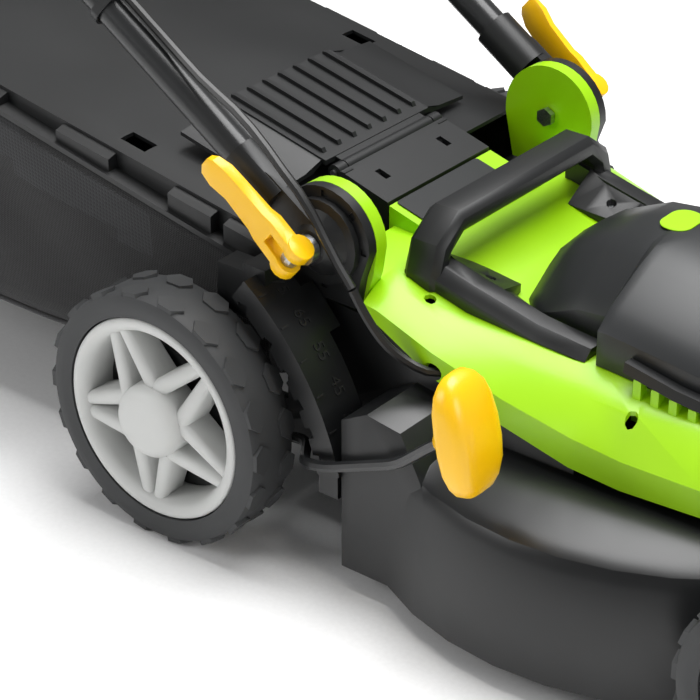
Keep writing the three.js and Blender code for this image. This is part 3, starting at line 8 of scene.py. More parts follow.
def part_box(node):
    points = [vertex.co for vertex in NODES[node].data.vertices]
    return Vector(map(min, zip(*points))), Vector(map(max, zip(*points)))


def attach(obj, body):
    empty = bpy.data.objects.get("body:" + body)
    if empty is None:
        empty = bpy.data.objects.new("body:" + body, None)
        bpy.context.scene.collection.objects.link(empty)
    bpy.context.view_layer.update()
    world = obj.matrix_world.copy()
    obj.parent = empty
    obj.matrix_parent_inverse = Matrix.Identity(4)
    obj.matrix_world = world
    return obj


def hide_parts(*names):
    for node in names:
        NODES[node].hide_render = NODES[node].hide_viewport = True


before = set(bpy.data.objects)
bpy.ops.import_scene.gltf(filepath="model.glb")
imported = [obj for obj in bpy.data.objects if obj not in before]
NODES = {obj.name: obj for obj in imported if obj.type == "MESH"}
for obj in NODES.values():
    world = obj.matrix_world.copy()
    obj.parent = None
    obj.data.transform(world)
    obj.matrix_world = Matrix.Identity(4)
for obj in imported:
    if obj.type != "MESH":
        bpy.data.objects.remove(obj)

# The cube, lamp and camera that a new file starts with.
for spare in ("Cube", "Light", "Camera"):
    if spare in bpy.data.objects:
        bpy.data.objects.remove(bpy.data.objects[spare])

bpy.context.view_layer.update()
SHIFT = Vector((0.065355, 0.0045, 0.0))  # from the axle and ground lines to the frame's origin


def at(x, y, z):
    """A place counted in millimetres from the rear axle line and the ground."""
    return Vector((x, y, z)) / 1000 + SHIFT


# ---------------------------------------------------------------- camera, floor and light
CAMERA_PLACE = (1.13947, -1.34240, 1.01500)
CAMERA_TURN = (60.9, 0.0, 38.7)
CAMERA_LENS = 128.57
SENSOR_WIDTH = 36.0
NEAREST, FARTHEST = 0.05, 60.0
# Each softbox: its name, place, target, width in metres and power in watts.
SOFTBOXES = (
    ("overhead_softbox", (0.2, 0.5, 2.6), (0.2, 0, 0.1), 2.0, 104),
    ("side_softbox", (-1.6, -2.4, 1.7), (0.1, -0.1, 0.2), 1.4, 26),
    ("front_softbox", (2.8, -0.4, 1.4), (0.2, 0, 0.2), 1.2, 20),
)
WORLD_STRENGTH = 0.28


def make_camera():
    lens = bpy.data.cameras.new("camera")
    lens.lens, lens.sensor_width = CAMERA_LENS, SENSOR_WIDTH
    lens.clip_start, lens.clip_end = NEAREST, FARTHEST
    camera = bpy.data.objects.new("camera", lens)
    camera.location = CAMERA_PLACE
    camera.rotation_euler = [math.radians(a) for a in CAMERA_TURN]
    bpy.context.scene.collection.objects.link(camera)
    bpy.context.scene.camera = camera


def make_light(name, place, target, size, power):
    lamp = bpy.data.lights.new(name, "AREA")
    lamp.shape, lamp.size, lamp.energy = "SQUARE", size, power
    obj = bpy.data.objects.new(name, lamp)
    obj.location = place
    obj.rotation_euler = (Vector(target) - Vector(place)).to_track_quat("-Z", "Y").to_euler()
    bpy.context.scene.collection.objects.link(obj)


def make_surroundings():
    for softbox in SOFTBOXES:
        make_light(*softbox)
    world = bpy.data.worlds.new("studio")
    bpy.context.scene.world = world
    world.use_nodes = True
    sky = world.node_tree.nodes["Background"]
    sky.inputs["Color"].default_value = (1, 1, 1, 1)
    sky.inputs["Strength"].default_value = WORLD_STRENGTH
    bpy.context.scene.view_settings.view_transform = "Standard"


# ---------------------------------------------------------------- material helpers
def linear(value):
    """An sRGB hex value as linear red, green, blue and alpha."""
    out = []
    for shift in (16, 8, 0):
        c = ((value >> shift) & 255) / 255
        out.append(c / 12.92 if c <= 0.04045 else ((c + 0.055) / 1.055) ** 2.4)
    return (*out, 1.0)


def add(tree, kind, settings=None, links=None):
    """A node with its settings (socket or property names) and its incoming links."""
    node = tree.nodes.new(kind)
    for name, value in (settings or {}).items():
        if isinstance(name, str) and hasattr(node, name) and name not in node.inputs:
            setattr(node, name, value)
        else:
            node.inputs[name].default_value = value
    for name, source in (links or {}).items():
        tree.links.new(source, node.inputs[name])
    return node


def new_surface(name):
    material = bpy.data.materials.new(name)
    material.use_nodes = True
    tree = material.node_tree
    tree.nodes.clear()
    place = add(tree, "ShaderNodeTexCoord").outputs["Object"]
    return material, tree, place


def close_surface(tree, constants, links):
    shader = add(tree, "ShaderNodeBsdfPrincipled", constants, links)
    add(tree, "ShaderNodeOutputMaterial", None, {"Surface": shader.outputs["BSDF"]})


def spread(tree, factor, low, high):
    """The factor stretched over low to high."""
    ranged = add(tree, "ShaderNodeMapRange", {"To Min": low, "To Max": high}, {"Value": factor})
    return ranged.outputs["Result"]


# Where along a factor the two tones of a material start and end.
TINT_FROM, TINT_TO = 0.3, 0.7


def tinted(tree, factor, dark, light):
    """Dark to light along the factor."""
    ramp = add(tree, "ShaderNodeValToRGB", None, {"Fac": factor})
    first, second = ramp.color_ramp.elements
    first.color, second.color = linear(dark), linear(light)
    first.position, second.position = TINT_FROM, TINT_TO
    return ramp.outputs["Color"]


def moulded(name, dark, light, rough, grain_mm, depth_mm, coat=0.0, sheen=0.0):
    """A moulded polymer: spark-eroded grain, slight flow variation in colour and gloss."""
    material, tree, place = new_surface(name)
    flow = add(tree, "ShaderNodeTexNoise", {"Scale": 9.0, "Detail": 3.0}, {"Vector": place}).outputs["Fac"]
    grain = add(tree, "ShaderNodeTexNoise", {"Scale": 1000 / grain_mm, "Detail": 2.0, "Roughness": 0.6},
                {"Vector": place}).outputs["Fac"]
    bump = add(tree, "ShaderNodeBump", {"Strength": 0.35, "Distance": depth_mm / 1000}, {"Height": grain})
    close_surface(tree, {"IOR": 1.5, "Coat Weight": coat, "Coat Roughness": 0.18, "Sheen Weight": sheen}, {
        "Base Color": tinted(tree, flow, dark, light),
        "Roughness": spread(tree, flow, rough - 0.05, rough + 0.07),
        "Normal": bump.outputs["Normal"],
    })
    return material


def metal(name, dark, light, rough, stretch):
    """Drawn or rolled metal: fine lines along the work and a slight tone change."""
    material, tree, place = new_surface(name)
    lines = add(tree, "ShaderNodeMapping", {"Scale": stretch}, {"Vector": place}).outputs["Vector"]
    drawn = add(tree, "ShaderNodeTexNoise", {"Scale": 700.0, "Detail": 3.0}, {"Vector": lines}).outputs["Fac"]
    bump = add(tree, "ShaderNodeBump", {"Strength": 0.2, "Distance": 0.0002}, {"Height": drawn})
    close_surface(tree, {"Metallic": 1.0}, {
        "Base Color": tinted(tree, drawn, dark, light),
        "Roughness": spread(tree, drawn, rough - 0.06, rough + 0.08),
        "Normal": bump.outputs["Normal"],
    })
    return material


# ABS with a fine spark grain under a satin gloss: the lime covers look bright, even and slightly waxy.
LIME_ABS = moulded("lime_abs_moulded", 0x96D000, 0xA2DA02, 0.36, 1.1, 0.05, coat=0.12)
# Polypropylene deck: near black, a soft broad shine and a fine pebbled grain.
DECK_PP = moulded("deck_polypropylene_pebbled", 0x0E0F10, 0x141516, 0.33, 1.6, 0.07)
# Glass-filled nylon: black, dry and a little rougher than the deck.
BLACK_NYLON = moulded("black_nylon_moulded", 0x0F1011, 0x151617, 0.42, 1.2, 0.06)
# Motor cover in polished-tool ABS: black with a broad grey sheen and a fine grain.
COVER_ABS = moulded("black_abs_satin", 0x17191A, 0x1D1F21, 0.4, 0.9, 0.05, coat=0.06)
# Yolk-yellow acetal of the control parts: smooth, slightly translucent-looking gloss.
YELLOW_POM = moulded("yellow_acetal_moulded", 0xFBBE00, 0xFFC802, 0.3, 1.8, 0.02, coat=0.15)
# Light grey polypropylene wheel rims: matt and even.
RIM_PP = moulded("light_grey_polypropylene", 0xC2C3C1, 0xCBCCCA, 0.42, 1.3, 0.05)
# Red acetal of the safety button.
RED_POM = moulded("red_acetal_moulded", 0xB4200F, 0xC42A16, 0.3, 1.8, 0.02, coat=0.2)
# PVC cable sheath: black with a soft plastic gleam.
CABLE_PVC = moulded("cable_pvc_extruded", 0x131313, 0x1A1A1A, 0.34, 2.4, 0.03)
# Hard rubber tyre: charcoal, matt, lightly dusty in its grain.
TYRE_RUBBER = moulded("tyre_rubber_vulcanised", 0x303132, 0x38393A, 0.62, 1.4, 0.12)
# Zinc-plated steel rods and bolts: bright, lightly drawn along their length.
ZINC_STEEL = metal("zinc_plated_steel_drawn", 0x9C9EA0, 0xC2C4C6, 0.3, (1.0, 0.06, 1.0))
# Laminated motor iron: dark, lined in layers.
MOTOR_IRON = metal("motor_iron_laminated", 0x4C4E50, 0x707274, 0.48, (0.2, 0.2, 3.0))
# Ground blade steel under black paint.
BLADE_STEEL = metal("blade_steel_black_oxide", 0x2B2C2D, 0x48494A, 0.42, (0.1, 1.0, 1.0))


def powder_coat():
    """Powder-coated handle tube: black with an orange-peel ripple about 2 mm across."""
    material, tree, place = new_surface("tube_powder_coat_black")
    peel = add(tree, "ShaderNodeTexVoronoi", {"Scale": 480.0}, {"Vector": place}).outputs["Distance"]
    tone = add(tree, "ShaderNodeTexNoise", {"Scale": 14.0, "Detail": 2.0}, {"Vector": place}).outputs["Fac"]
    bump = add(tree, "ShaderNodeBump", {"Strength": 0.18, "Distance": 0.0002}, {"Height": peel})
    close_surface(tree, {"IOR": 1.5, "Coat Weight": 0.2, "Coat Roughness": 0.15}, {
        "Base Color": tinted(tree, tone, 0x1B1C1D, 0x232425),
        "Roughness": spread(tree, tone, 0.27, 0.36),
        "Normal": bump.outputs["Normal"],
    })
    return material


def foam_sleeve():
    """Closed-cell foam grip: matt black, small open cells about 1.2 mm apart, with painted shade darkening
    each cell's hollow.
    """
    material, tree, place = new_surface("grip_foam_closed_cell")
    cells = add(tree, "ShaderNodeTexVoronoi", {"Scale": 820.0}, {"Vector": place}).outputs["Distance"]
    bump = add(tree, "ShaderNodeBump", {"Strength": 0.7, "Distance": 0.0005}, {"Height": cells})
    close_surface(tree, {"IOR": 1.45, "Sheen Weight": 0.25, "Sheen Roughness": 0.6}, {
        # painted shade: darker in the hollows of the cells, lighter on their rims
        "Base Color": tinted(tree, cells, 0x131313, 0x222222),
        "Roughness": spread(tree, cells, 0.8, 0.95),
        "Normal": bump.outputs["Normal"],
    })
    return material


def woven(name, thread_mm, dark, light, sheen, is_open):
    """Plain-woven polyester: two crossing rib waves on the cloth's own UV map, with painted shade where the
    weave is low. An open weave keeps dark squares of painted shade between its threads, where its holes are.
    Threads are about three times as coarse as real ones, so that they show."""
    material, tree, _ = new_surface(name)
    cloth = add(tree, "ShaderNodeUVMap", {"uv_map": "cloth"}).outputs["UV"]
    per_metre = 1000 / thread_mm
    parts = add(tree, "ShaderNodeSeparateXYZ", None, {"Vector": cloth}).outputs
    waves = []
    for axis in ("X", "Y"):
        turn = add(tree, "ShaderNodeMath", {"operation": "MULTIPLY", 1: per_metre * math.pi},
                   {0: parts[axis]})
        sine = add(tree, "ShaderNodeMath", {"operation": "SINE"}, {0: turn.outputs[0]})
        waves.append(add(tree, "ShaderNodeMath", {"operation": "ABSOLUTE"}, {0: sine.outputs[0]}).outputs[0])
    height = add(tree, "ShaderNodeMath", {"operation": "MAXIMUM" if is_open else "MULTIPLY"},
                 {0: waves[0], 1: waves[1]}).outputs[0]
    crease = add(tree, "ShaderNodeTexNoise", {"Scale": 7.0, "Detail": 3.0}, {"Vector": cloth}).outputs["Fac"]
    both = add(tree, "ShaderNodeMath", {"operation": "MULTIPLY_ADD", 1: 0.35},
               {0: crease, 2: height}).outputs[0]
    bump = add(tree, "ShaderNodeBump", {"Strength": 0.6, "Distance": 0.0006}, {"Height": both})
    # Colour follows the weave's height: painted shade in its low places, and in the holes of an open weave.
    tone = tinted(tree, height, dark, light)
    close_surface(tree, {"IOR": 1.5, "Sheen Weight": sheen, "Sheen Roughness": 0.5}, {
        "Base Color": tone, "Roughness": spread(tree, crease, 0.66, 0.86), "Normal": bump.outputs["Normal"],
    })
    return material


POWDER_COAT = powder_coat()
GRIP_FOAM = foam_sleeve()
# Coated polyester of the grass bag: black, close weave, a faint dusty sheen, and painted shade in the low
# places of the weave.
BAG_CLOTH = woven("bag_polyester_coated", 1.6, 0x0A0A0B, 0x131315, 0.12, False)
# Open polyester netting of the bag's air zones: greyer, with dark squares of painted shade between its
# threads, where its holes are.
BAG_NET = woven("bag_polyester_netting", 3.2, 0x060607, 0x242527, 0.1, True)
# Bonded polyester thread: charcoal, slightly glossy.
SEAM_THREAD = moulded("seam_thread_bonded", 0x2C2D2F, 0x3A3B3D, 0.5, 0.5, 0.05)
# Woven polypropylene binding tape: dull black with a fine grain.
BINDING_TAPE = moulded("binding_tape_woven", 0x151516, 0x222224, 0.7, 0.8, 0.12, sheen=0.2)
# Numerals moulded into the height scale: the deck's own black, a little duller.
SCALE_RELIEF = moulded("scale_numerals_moulded", 0x0C0C0C, 0x121212, 0.5, 1.5, 0.02)


def plain_floor():
    """Matt white studio floor."""
    material, tree, place = new_surface("studio_floor_paper")
    tooth = add(tree, "ShaderNodeTexNoise", {"Scale": 260.0}, {"Vector": place}).outputs["Fac"]
    close_surface(tree, {"IOR": 1.4}, {
        "Base Color": tinted(tree, tooth, 0xF4F4F4, 0xF8F8F8), "Roughness": spread(tree, tooth, 0.8, 0.9)})
    return material


# ---------------------------------------------------------------- mesh helpers
def mesh_from(bm, name):
    mesh = bpy.data.meshes.new(name)
    bm.to_mesh(mesh)
    bm.free()
    return mesh


def band(bm, a, b):
    """Four-sided faces between two rings of as many vertices."""
    n = len(a)
    for k in range(n):
        bm.faces.new((a[k], a[(k + 1) % n], b[(k + 1) % n], b[k]))


def stack(bm, rings):
    """Bands from each ring to the next, with the first and last ring capped."""
    for a, b in zip(rings, rings[1:]):
        band(bm, a, b)
    bm.faces.new(rings[0])
    bm.faces.new(rings[-1])


def lathe(bm, rows, sides):
    """Rows of (radius, y) in metres turned round the Y axis, the last row joined to the first."""
    rings = [[bm.verts.new((r * math.cos(2 * math.pi * k / sides), y, r * math.sin(2 * math.pi * k / sides)))
              for k in range(sides)] for r, y in rows]
    for i in range(len(rings)):
        band(bm, rings[i], rings[(i + 1) % len(rings)])


def new_piece(name, bm, material, body, smooth=None):
    """A finished mesh with its place in its vertices, riding on a body."""
    mesh = mesh_from(bm, name)
    obj = bpy.data.objects.new(name, mesh)
    bpy.context.scene.collection.objects.link(obj)
    for m in material if isinstance(material, (list, tuple)) else [material]:
        mesh.materials.append(m)
    if smooth is not None:
        mesh.shade_smooth()
        mesh.set_sharp_from_angle(angle=math.radians(smooth))
    if body:
        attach(obj, body)
    return obj


def swept(bm, points, ring, closed=False):
    """A closed tube of cross-section `ring` (list of 2-D offsets) along points, its ends capped."""
    points = [Vector(p) for p in points]
    n, rows = len(points), []
    normal = None
    for i, p in enumerate(points):
        a = points[(i - 1) % n] if closed or i else points[0]
        b = points[(i + 1) % n] if closed or i < n - 1 else points[-1]
        tangent = (b - a).normalized()
        if normal is None:
            normal = tangent.orthogonal().normalized()
        normal = (normal - tangent * normal.dot(tangent)).normalized()
        other = tangent.cross(normal)
        rows.append([bm.verts.new(p + normal * u + other * v) for u, v in ring])
    for i in range(n if closed else n - 1):
        band(bm, rows[i], rows[(i + 1) % n])
    if not closed:
        bm.faces.new(list(reversed(rows[0])))
        bm.faces.new(rows[-1])


def circle(radius, sides):
    return [(radius * math.cos(2 * math.pi * k / sides), radius * math.sin(2 * math.pi * k / sides))
            for k in range(sides)]


def outward(bm):
    """Doubled vertices merged, then every face turned to point out."""
    bmesh.ops.remove_doubles(bm, verts=bm.verts, dist=1e-6)
    bmesh.ops.recalc_face_normals(bm, faces=bm.faces)


# ---------------------------------------------------------------- Geometry Nodes helpers
def new_tree(name, inputs):
    """A node tree with its inputs: the tree, its inputs' sockets and the identifier of each input."""
    tree = bpy.data.node_groups.new(name, "GeometryNodeTree")
    tree.interface.new_socket("Geometry", in_out="INPUT", socket_type="NodeSocketGeometry")
    ids = {}
    for title, (kind, value) in inputs.items():
        socket = tree.interface.new_socket(title, in_out="INPUT", socket_type=kind)
        if value is not None:
            socket.default_value = value
        ids[title] = socket.identifier
    tree.interface.new_socket("Geometry", in_out="OUTPUT", socket_type="NodeSocketGeometry")
    return tree, add(tree, "NodeGroupInput").outputs, ids


def applied(name, base, tree, ids, values, material, body, smooth=30):
    """The tree run on the mesh `base`, turned into a plain mesh that rides on a body."""
    obj = bpy.data.objects.new(name + "_source", base)
    bpy.context.scene.collection.objects.link(obj)
    modifier = obj.modifiers.new("nodes", "NODES")
    modifier.node_group = tree
    for title, value in values.items():
        modifier[ids[title]] = value
    evaluated = obj.evaluated_get(bpy.context.evaluated_depsgraph_get())
    mesh = bpy.data.meshes.new_from_object(evaluated)
    obj.modifiers.remove(modifier)
    bpy.data.objects.remove(obj)
    mesh.name = name
    out = bpy.data.objects.new(name, mesh)
    bpy.context.scene.collection.objects.link(out)
    if not mesh.materials:
        mesh.materials.append(material)
    mesh.shade_smooth()
    mesh.set_sharp_from_angle(angle=math.radians(smooth))
    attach(out, body)
    return out


SHARP_FROM = math.radians(34)
WELD_WITHIN = 0.00002


def soft_edges():
    """CAD faces are shaded smooth, with edges sharper than the given angle kept crisp."""
    tree, source, _ = new_tree("smooth_by_angle", {"Sharp angle": ("NodeSocketFloat", SHARP_FROM)})
    merged = add(tree, "GeometryNodeMergeByDistance", {"Distance": WELD_WITHIN},
                 {"Geometry": source["Geometry"]})
    faces = add(tree, "GeometryNodeSetShadeSmooth", {"domain": "FACE", "Shade Smooth": True},
                {"Geometry": merged.outputs["Geometry"]})
    angle = add(tree, "GeometryNodeInputMeshEdgeAngle").outputs["Unsigned Angle"]
    sharp = add(tree, "FunctionNodeCompare", {"operation": "GREATER_THAN"},
                {"A": angle, "B": source["Sharp angle"]}).outputs["Result"]
    edges = add(tree, "GeometryNodeSetShadeSmooth", {"domain": "EDGE", "Shade Smooth": False},
                {"Geometry": faces.outputs["Geometry"], "Selection": sharp})
    add(tree, "NodeGroupOutput", None, {"Geometry": edges.outputs["Geometry"]})
    return tree


# ---------------------------------------------------------------- finishes of the CAD nodes
FINISHES = {
    "deck_shell": DECK_PP, "height_quadrant": DECK_PP, "top_cover": LIME_ABS, "motor_cover": COVER_ABS,
    "carry_handle": BLACK_NYLON, "grip_sleeve": GRIP_FOAM, "blade": BLADE_STEEL, "safety_button": RED_POM,
    "motor_housing": MOTOR_IRON, "motor_shaft": MOTOR_IRON, "height_lever_knob": YELLOW_POM,
    "bail_lever": YELLOW_POM, "height_lever_rod": POWDER_COAT,
}
FAMILIES = [
    ("clamp_lever", YELLOW_POM), ("wheel_rim", RIM_PP), ("tyre", TYRE_RUBBER), ("tube", POWDER_COAT),
    ("cable", CABLE_PVC), ("bolt", ZINC_STEEL), ("axle", ZINC_STEEL), ("link_rod", ZINC_STEEL),
    ("hinge_rod", ZINC_STEEL), ("washer", ZINC_STEEL), ("bearing", ZINC_STEEL),
]
# Edge radius of the larger mouldings, in metres.
ROUNDED = {"carry_handle": 0.0022, "deck_shell": 0.0016, "motor_cover": 0.002,
           "clamp_lever_lower_right": 0.0012, "clamp_lever_lower_left": 0.0012,
           "clamp_lever_upper_right": 0.0012, "clamp_lever_upper_left": 0.0012}
FLAT_WITHIN, EDGE_FROM = math.radians(0.4), math.radians(28)


def finish_nodes():
    tree = soft_edges()
    for name, obj in NODES.items():
        material = FINISHES.get(name) or next((m for key, m in FAMILIES if key in name), BLACK_NYLON)
        if not obj.material_slots:
            obj.data.materials.append(material)
        for s in obj.material_slots:
            s.material = material
        if name in ROUNDED:
            weld = obj.modifiers.new("merged", "WELD")
            weld.merge_threshold = WELD_WITHIN
            flat = obj.modifiers.new("flat_faces", "DECIMATE")
            flat.decimate_type, flat.angle_limit = "DISSOLVE", FLAT_WITHIN
            edge = obj.modifiers.new("moulded_edges", "BEVEL")
            edge.width, edge.segments, edge.limit_method = ROUNDED[name], 2, "ANGLE"
            edge.angle_limit, edge.use_clamp_overlap = EDGE_FROM, True
        obj.modifiers.new("smooth", "NODES").node_group = tree


# ---------------------------------------------------------------- tyres
LUGS = 18
LUG_SIDES = 6
LUG_PROUD = 0.0026
LUG_SUNK = 0.0010
LUG_HALVES = (0.0122, 0.0082)  # half size across the tread and round it
LUG_ROWS = ((0.19, 0.0), (0.81, 0.5))  # share of the width, and share of a pitch that the row is turned by
TYRE_SIDES = 96
# The carcass: share of the tread's width, and depth below the lug tops in millimetres.
TYRE_PROFILE = [
    (0.03, 20.4), (0.02, 17.0), (0.0, 13.0), (0.0, 8.0), (0.03, 4.4), (0.1, 2.9), (0.5, 2.4), (0.9, 2.9),
    (0.97, 4.4), (1.0, 8.0), (1.0, 13.0), (0.98, 17.0), (0.97, 20.4),
]


def carcass(radius, width):
    """The tyre's body round the Y axis, from y = 0 to y = width."""
    bm = bmesh.new()
    lathe(bm, [(radius - depth / 1000, share * width) for share, depth in TYRE_PROFILE], TYRE_SIDES)
    outward(bm)
    return mesh_from(bm, "carcass")


def tread_tree():
    """Two rows of lugs round a tyre that lies on the Y axis, one row half a pitch from the other."""
    tree, source, ids = new_tree("tread_lugs", {
        "Radius": ("NodeSocketFloat", 0.1), "Width": ("NodeSocketFloat", 0.045),
        "Lugs": ("NodeSocketInt", LUGS), "Rubber": ("NodeSocketMaterial", None),
    })
    block = add(tree, "GeometryNodeMeshCylinder", {"Vertices": LUG_SIDES, "Depth": LUG_PROUD * 2})
    lug = block.outputs["Mesh"]
    joined = add(tree, "GeometryNodeJoinGeometry", None, {"Geometry": source["Geometry"]})
    step = add(tree, "ShaderNodeMath", {"operation": "DIVIDE", 0: 2 * math.pi},
               {1: source["Lugs"]}).outputs[0]
    index = add(tree, "GeometryNodeInputIndex").outputs["Index"]
    foot = add(tree, "ShaderNodeMath", {"operation": "SUBTRACT", 1: LUG_PROUD + LUG_SUNK},
               {0: source["Radius"]}).outputs[0]
    for share, phase in LUG_ROWS:
        turned = add(tree, "ShaderNodeMath", {"operation": "ADD", 1: phase}, {0: index}).outputs[0]
        angle = add(tree, "ShaderNodeMath", {"operation": "MULTIPLY"}, {0: turned, 1: step}).outputs[0]
        c = add(tree, "ShaderNodeMath", {"operation": "COSINE"}, {0: angle}).outputs[0]
        s = add(tree, "ShaderNodeMath", {"operation": "SINE"}, {0: angle}).outputs[0]
        x = add(tree, "ShaderNodeMath", {"operation": "MULTIPLY"}, {0: c, 1: foot}).outputs[0]
        z = add(tree, "ShaderNodeMath", {"operation": "MULTIPLY"}, {0: s, 1: foot}).outputs[0]
        y = add(tree, "ShaderNodeMath", {"operation": "MULTIPLY", 1: share},
                {0: source["Width"]}).outputs[0]
        place = add(tree, "ShaderNodeCombineXYZ", None, {"X": x, "Y": y, "Z": z}).outputs["Vector"]
        out = add(tree, "ShaderNodeCombineXYZ", None, {"X": c, "Z": s}).outputs["Vector"]
        points = add(tree, "GeometryNodePoints", None, {"Count": source["Lugs"], "Position": place})
        turn = add(tree, "FunctionNodeAlignRotationToVector", {"axis": "Z", "pivot_axis": "Y"},
                   {"Vector": out})
        placed = add(tree, "GeometryNodeInstanceOnPoints", {"Scale": (*LUG_HALVES, 1.0)},
                     {"Points": points.outputs[0], "Instance": lug, "Rotation": turn.outputs["Rotation"]})
        tree.links.new(placed.outputs["Instances"], joined.inputs["Geometry"])
    real = add(tree, "GeometryNodeRealizeInstances", None, {"Geometry": joined.outputs["Geometry"]})
    painted = add(tree, "GeometryNodeSetMaterial", None,
                  {"Geometry": real.outputs["Geometry"], "Material": source["Rubber"]})
    add(tree, "NodeGroupOutput", None, {"Geometry": painted.outputs["Geometry"]})
    return tree, ids


def make_tyres():
    tree, ids = tread_tree()
    for where in ("rear", "front"):
        for side in ("right", "left"):
            node = f"{where}_tyre_{side}"
            low, high = (Vector(c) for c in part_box(node))
            radius, width = (high.z - low.z) / 2, high.y - low.y
            tyre = applied(f"{where}_tyre_tread_{side}", carcass(radius, width), tree, ids,
                           {"Radius": radius, "Width": width, "Lugs": LUGS, "Rubber": TYRE_RUBBER},
                           TYRE_RUBBER, f"{where}_wheel_{side}", 32)
            centre = (low + high) / 2
            tyre.data.transform(Matrix.Translation((centre.x, low.y, centre.z)))
            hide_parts(node)


# ---------------------------------------------------------------- wheel rims
RIM_SIDES = 80
HUB_SIDES = 48
# Radius and depth behind the rim's face, in millimetres. The band's radius counts back from the tyre's.
RIM_BAND = [(-21.2, 42), (-21.2, 4), (-22.0, 2.0), (-24.0, 1.0), (-27.5, 1.4), (-31.0, 4.0), (-33.5, 9.0),
            (-35.0, 26), (-35.0, 42)]
HUB_CAP = [(0.01, -10.6), (12, -10.4), (19, -9.6), (24, -7.6), (27, -4.0), (28.0, 1.0), (28.5, 8),
           (28.5, 24), (16.0, 30), (16.0, 43), (7.0, 43), (7.0, 12), (0.01, 12)]
DISC_GAP, DISC_BORE = 0.036, 0.0165  # the inner disc's edge in from the tyre's radius, and its hole
DISC_FRONT, DISC_BACK = 0.029, 0.031
SPOKES = 5
FIRST_POINT = 0.42
SPOKE_ROOT = 0.027  # radius where a rib leaves the hub
SPOKE_SHORT, SPOKE_TIP_HALF_GAP = 0.027, 0.0045  # a rib's tip: in from the tyre's radius, and off its centre
SPOKE_TURN = 0.56  # half angle, at the hub, between the two ribs that make one point of the star


def spoke_mesh(radius):
    """One point of the star, along +X: two ribs with rounded faces that meet at the rim, Y inwards."""
    bm = bmesh.new()
    for side in (-1, 1):
        root = Vector((SPOKE_ROOT * math.cos(SPOKE_TURN), 0, side * SPOKE_ROOT * math.sin(SPOKE_TURN)))
        tip = Vector((radius - SPOKE_SHORT, 0, side * SPOKE_TIP_HALF_GAP))
        along = (tip - root).normalized()
        across = Vector((-along.z, 0, along.x))
        rows = []
        for share in (0.0, 0.25, 0.5, 0.75, 1.0):
            centre = root.lerp(tip, share)
            half = 0.0066 - 0.0012 * share
            face = 0.0005 + 0.0055 * share
            outline = [(-half, 0.026), (-half, face + 0.0035), (-half * 0.72, face + 0.0010),
                       (-half * 0.3, face), (half * 0.3, face), (half * 0.72, face + 0.0010),
                       (half, face + 0.0035), (half, 0.026)]
            rows.append([bm.verts.new(centre + across * u + Vector((0, y, 0))) for u, y in outline])
        stack(bm, rows)
    bmesh.ops.recalc_face_normals(bm, faces=bm.faces)
    return mesh_from(bm, "spoke")


def star_tree():
    """Joins the turned rim with the star's points, spaced evenly round the Y axis."""
    tree, source, ids = new_tree("star_points", {
        "Spoke": ("NodeSocketObject", None), "Points": ("NodeSocketInt", SPOKES),
        "First angle": ("NodeSocketFloat", FIRST_POINT), "Plastic": ("NodeSocketMaterial", None)})
    shape = add(tree, "GeometryNodeObjectInfo", None, {"Object": source["Spoke"]}).outputs["Geometry"]
    points = add(tree, "GeometryNodePoints", None, {"Count": source["Points"]})
    index = add(tree, "GeometryNodeInputIndex").outputs["Index"]
    step = add(tree, "ShaderNodeMath", {"operation": "DIVIDE", 0: 2 * math.pi},
               {1: source["Points"]}).outputs[0]
    angle = add(tree, "ShaderNodeMath", {"operation": "MULTIPLY_ADD"},
                {0: index, 1: step, 2: source["First angle"]}).outputs[0]
    turn = add(tree, "ShaderNodeCombineXYZ", None, {"Y": angle}).outputs["Vector"]
    placed = add(tree, "GeometryNodeInstanceOnPoints", None,
                 {"Points": points.outputs[0], "Instance": shape, "Rotation": turn})
    both = add(tree, "GeometryNodeJoinGeometry", None, {"Geometry": source["Geometry"]})
    tree.links.new(placed.outputs["Instances"], both.inputs["Geometry"])
    real = add(tree, "GeometryNodeRealizeInstances", None, {"Geometry": both.outputs["Geometry"]})
    painted = add(tree, "GeometryNodeSetMaterial", None,
                  {"Geometry": real.outputs["Geometry"], "Material": source["Plastic"]})
    add(tree, "NodeGroupOutput", None, {"Geometry": painted.outputs["Geometry"]})
    return tree, ids


def make_rims():
    tree, ids = star_tree()
    for where in ("rear", "front"):
        for side, sign in (("right", 1), ("left", -1)):
            node = f"{where}_wheel_rim_{side}"
            low, high = (Vector(c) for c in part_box(f"{where}_tyre_{side}"))
            radius, centre = (high.z - low.z) / 2, (low + high) / 2
            bm = bmesh.new()
            lathe(bm, [(radius + r / 1000, y / 1000) for r, y in RIM_BAND], RIM_SIDES)
            lathe(bm, [(r / 1000, y / 1000) for r, y in HUB_CAP], HUB_SIDES)
            outward(bm)
            base = mesh_from(bm, "rim")
            spoke = bpy.data.objects.new("spoke_shape", spoke_mesh(radius))
            bpy.context.scene.collection.objects.link(spoke)
            body = f"{where}_wheel_{side}"
            rim = applied(f"{where}_star_rim_{side}", base, tree, ids,
                          {"Spoke": spoke, "Points": SPOKES, "First angle": FIRST_POINT, "Plastic": RIM_PP},
                          RIM_PP, body, 42)
            bpy.data.objects.remove(spoke)
            face = low.y if sign > 0 else high.y
            place = Matrix.Translation((centre.x, face, centre.z)) @ Matrix.Diagonal((1, sign, 1, 1))
            disc_bm = bmesh.new()
            edge = radius - DISC_GAP
            lathe(disc_bm, [(edge, DISC_FRONT), (edge, DISC_BACK), (DISC_BORE, DISC_BACK),
                            (DISC_BORE, DISC_FRONT)], HUB_SIDES)
            outward(disc_bm)
            disc = new_piece(f"{where}_inner_disc_{side}", disc_bm, BLACK_NYLON, body, 30)
            for piece in (rim, disc):
                piece.data.transform(place)
                if sign < 0:
                    piece.data.flip_normals()
            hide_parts(node)


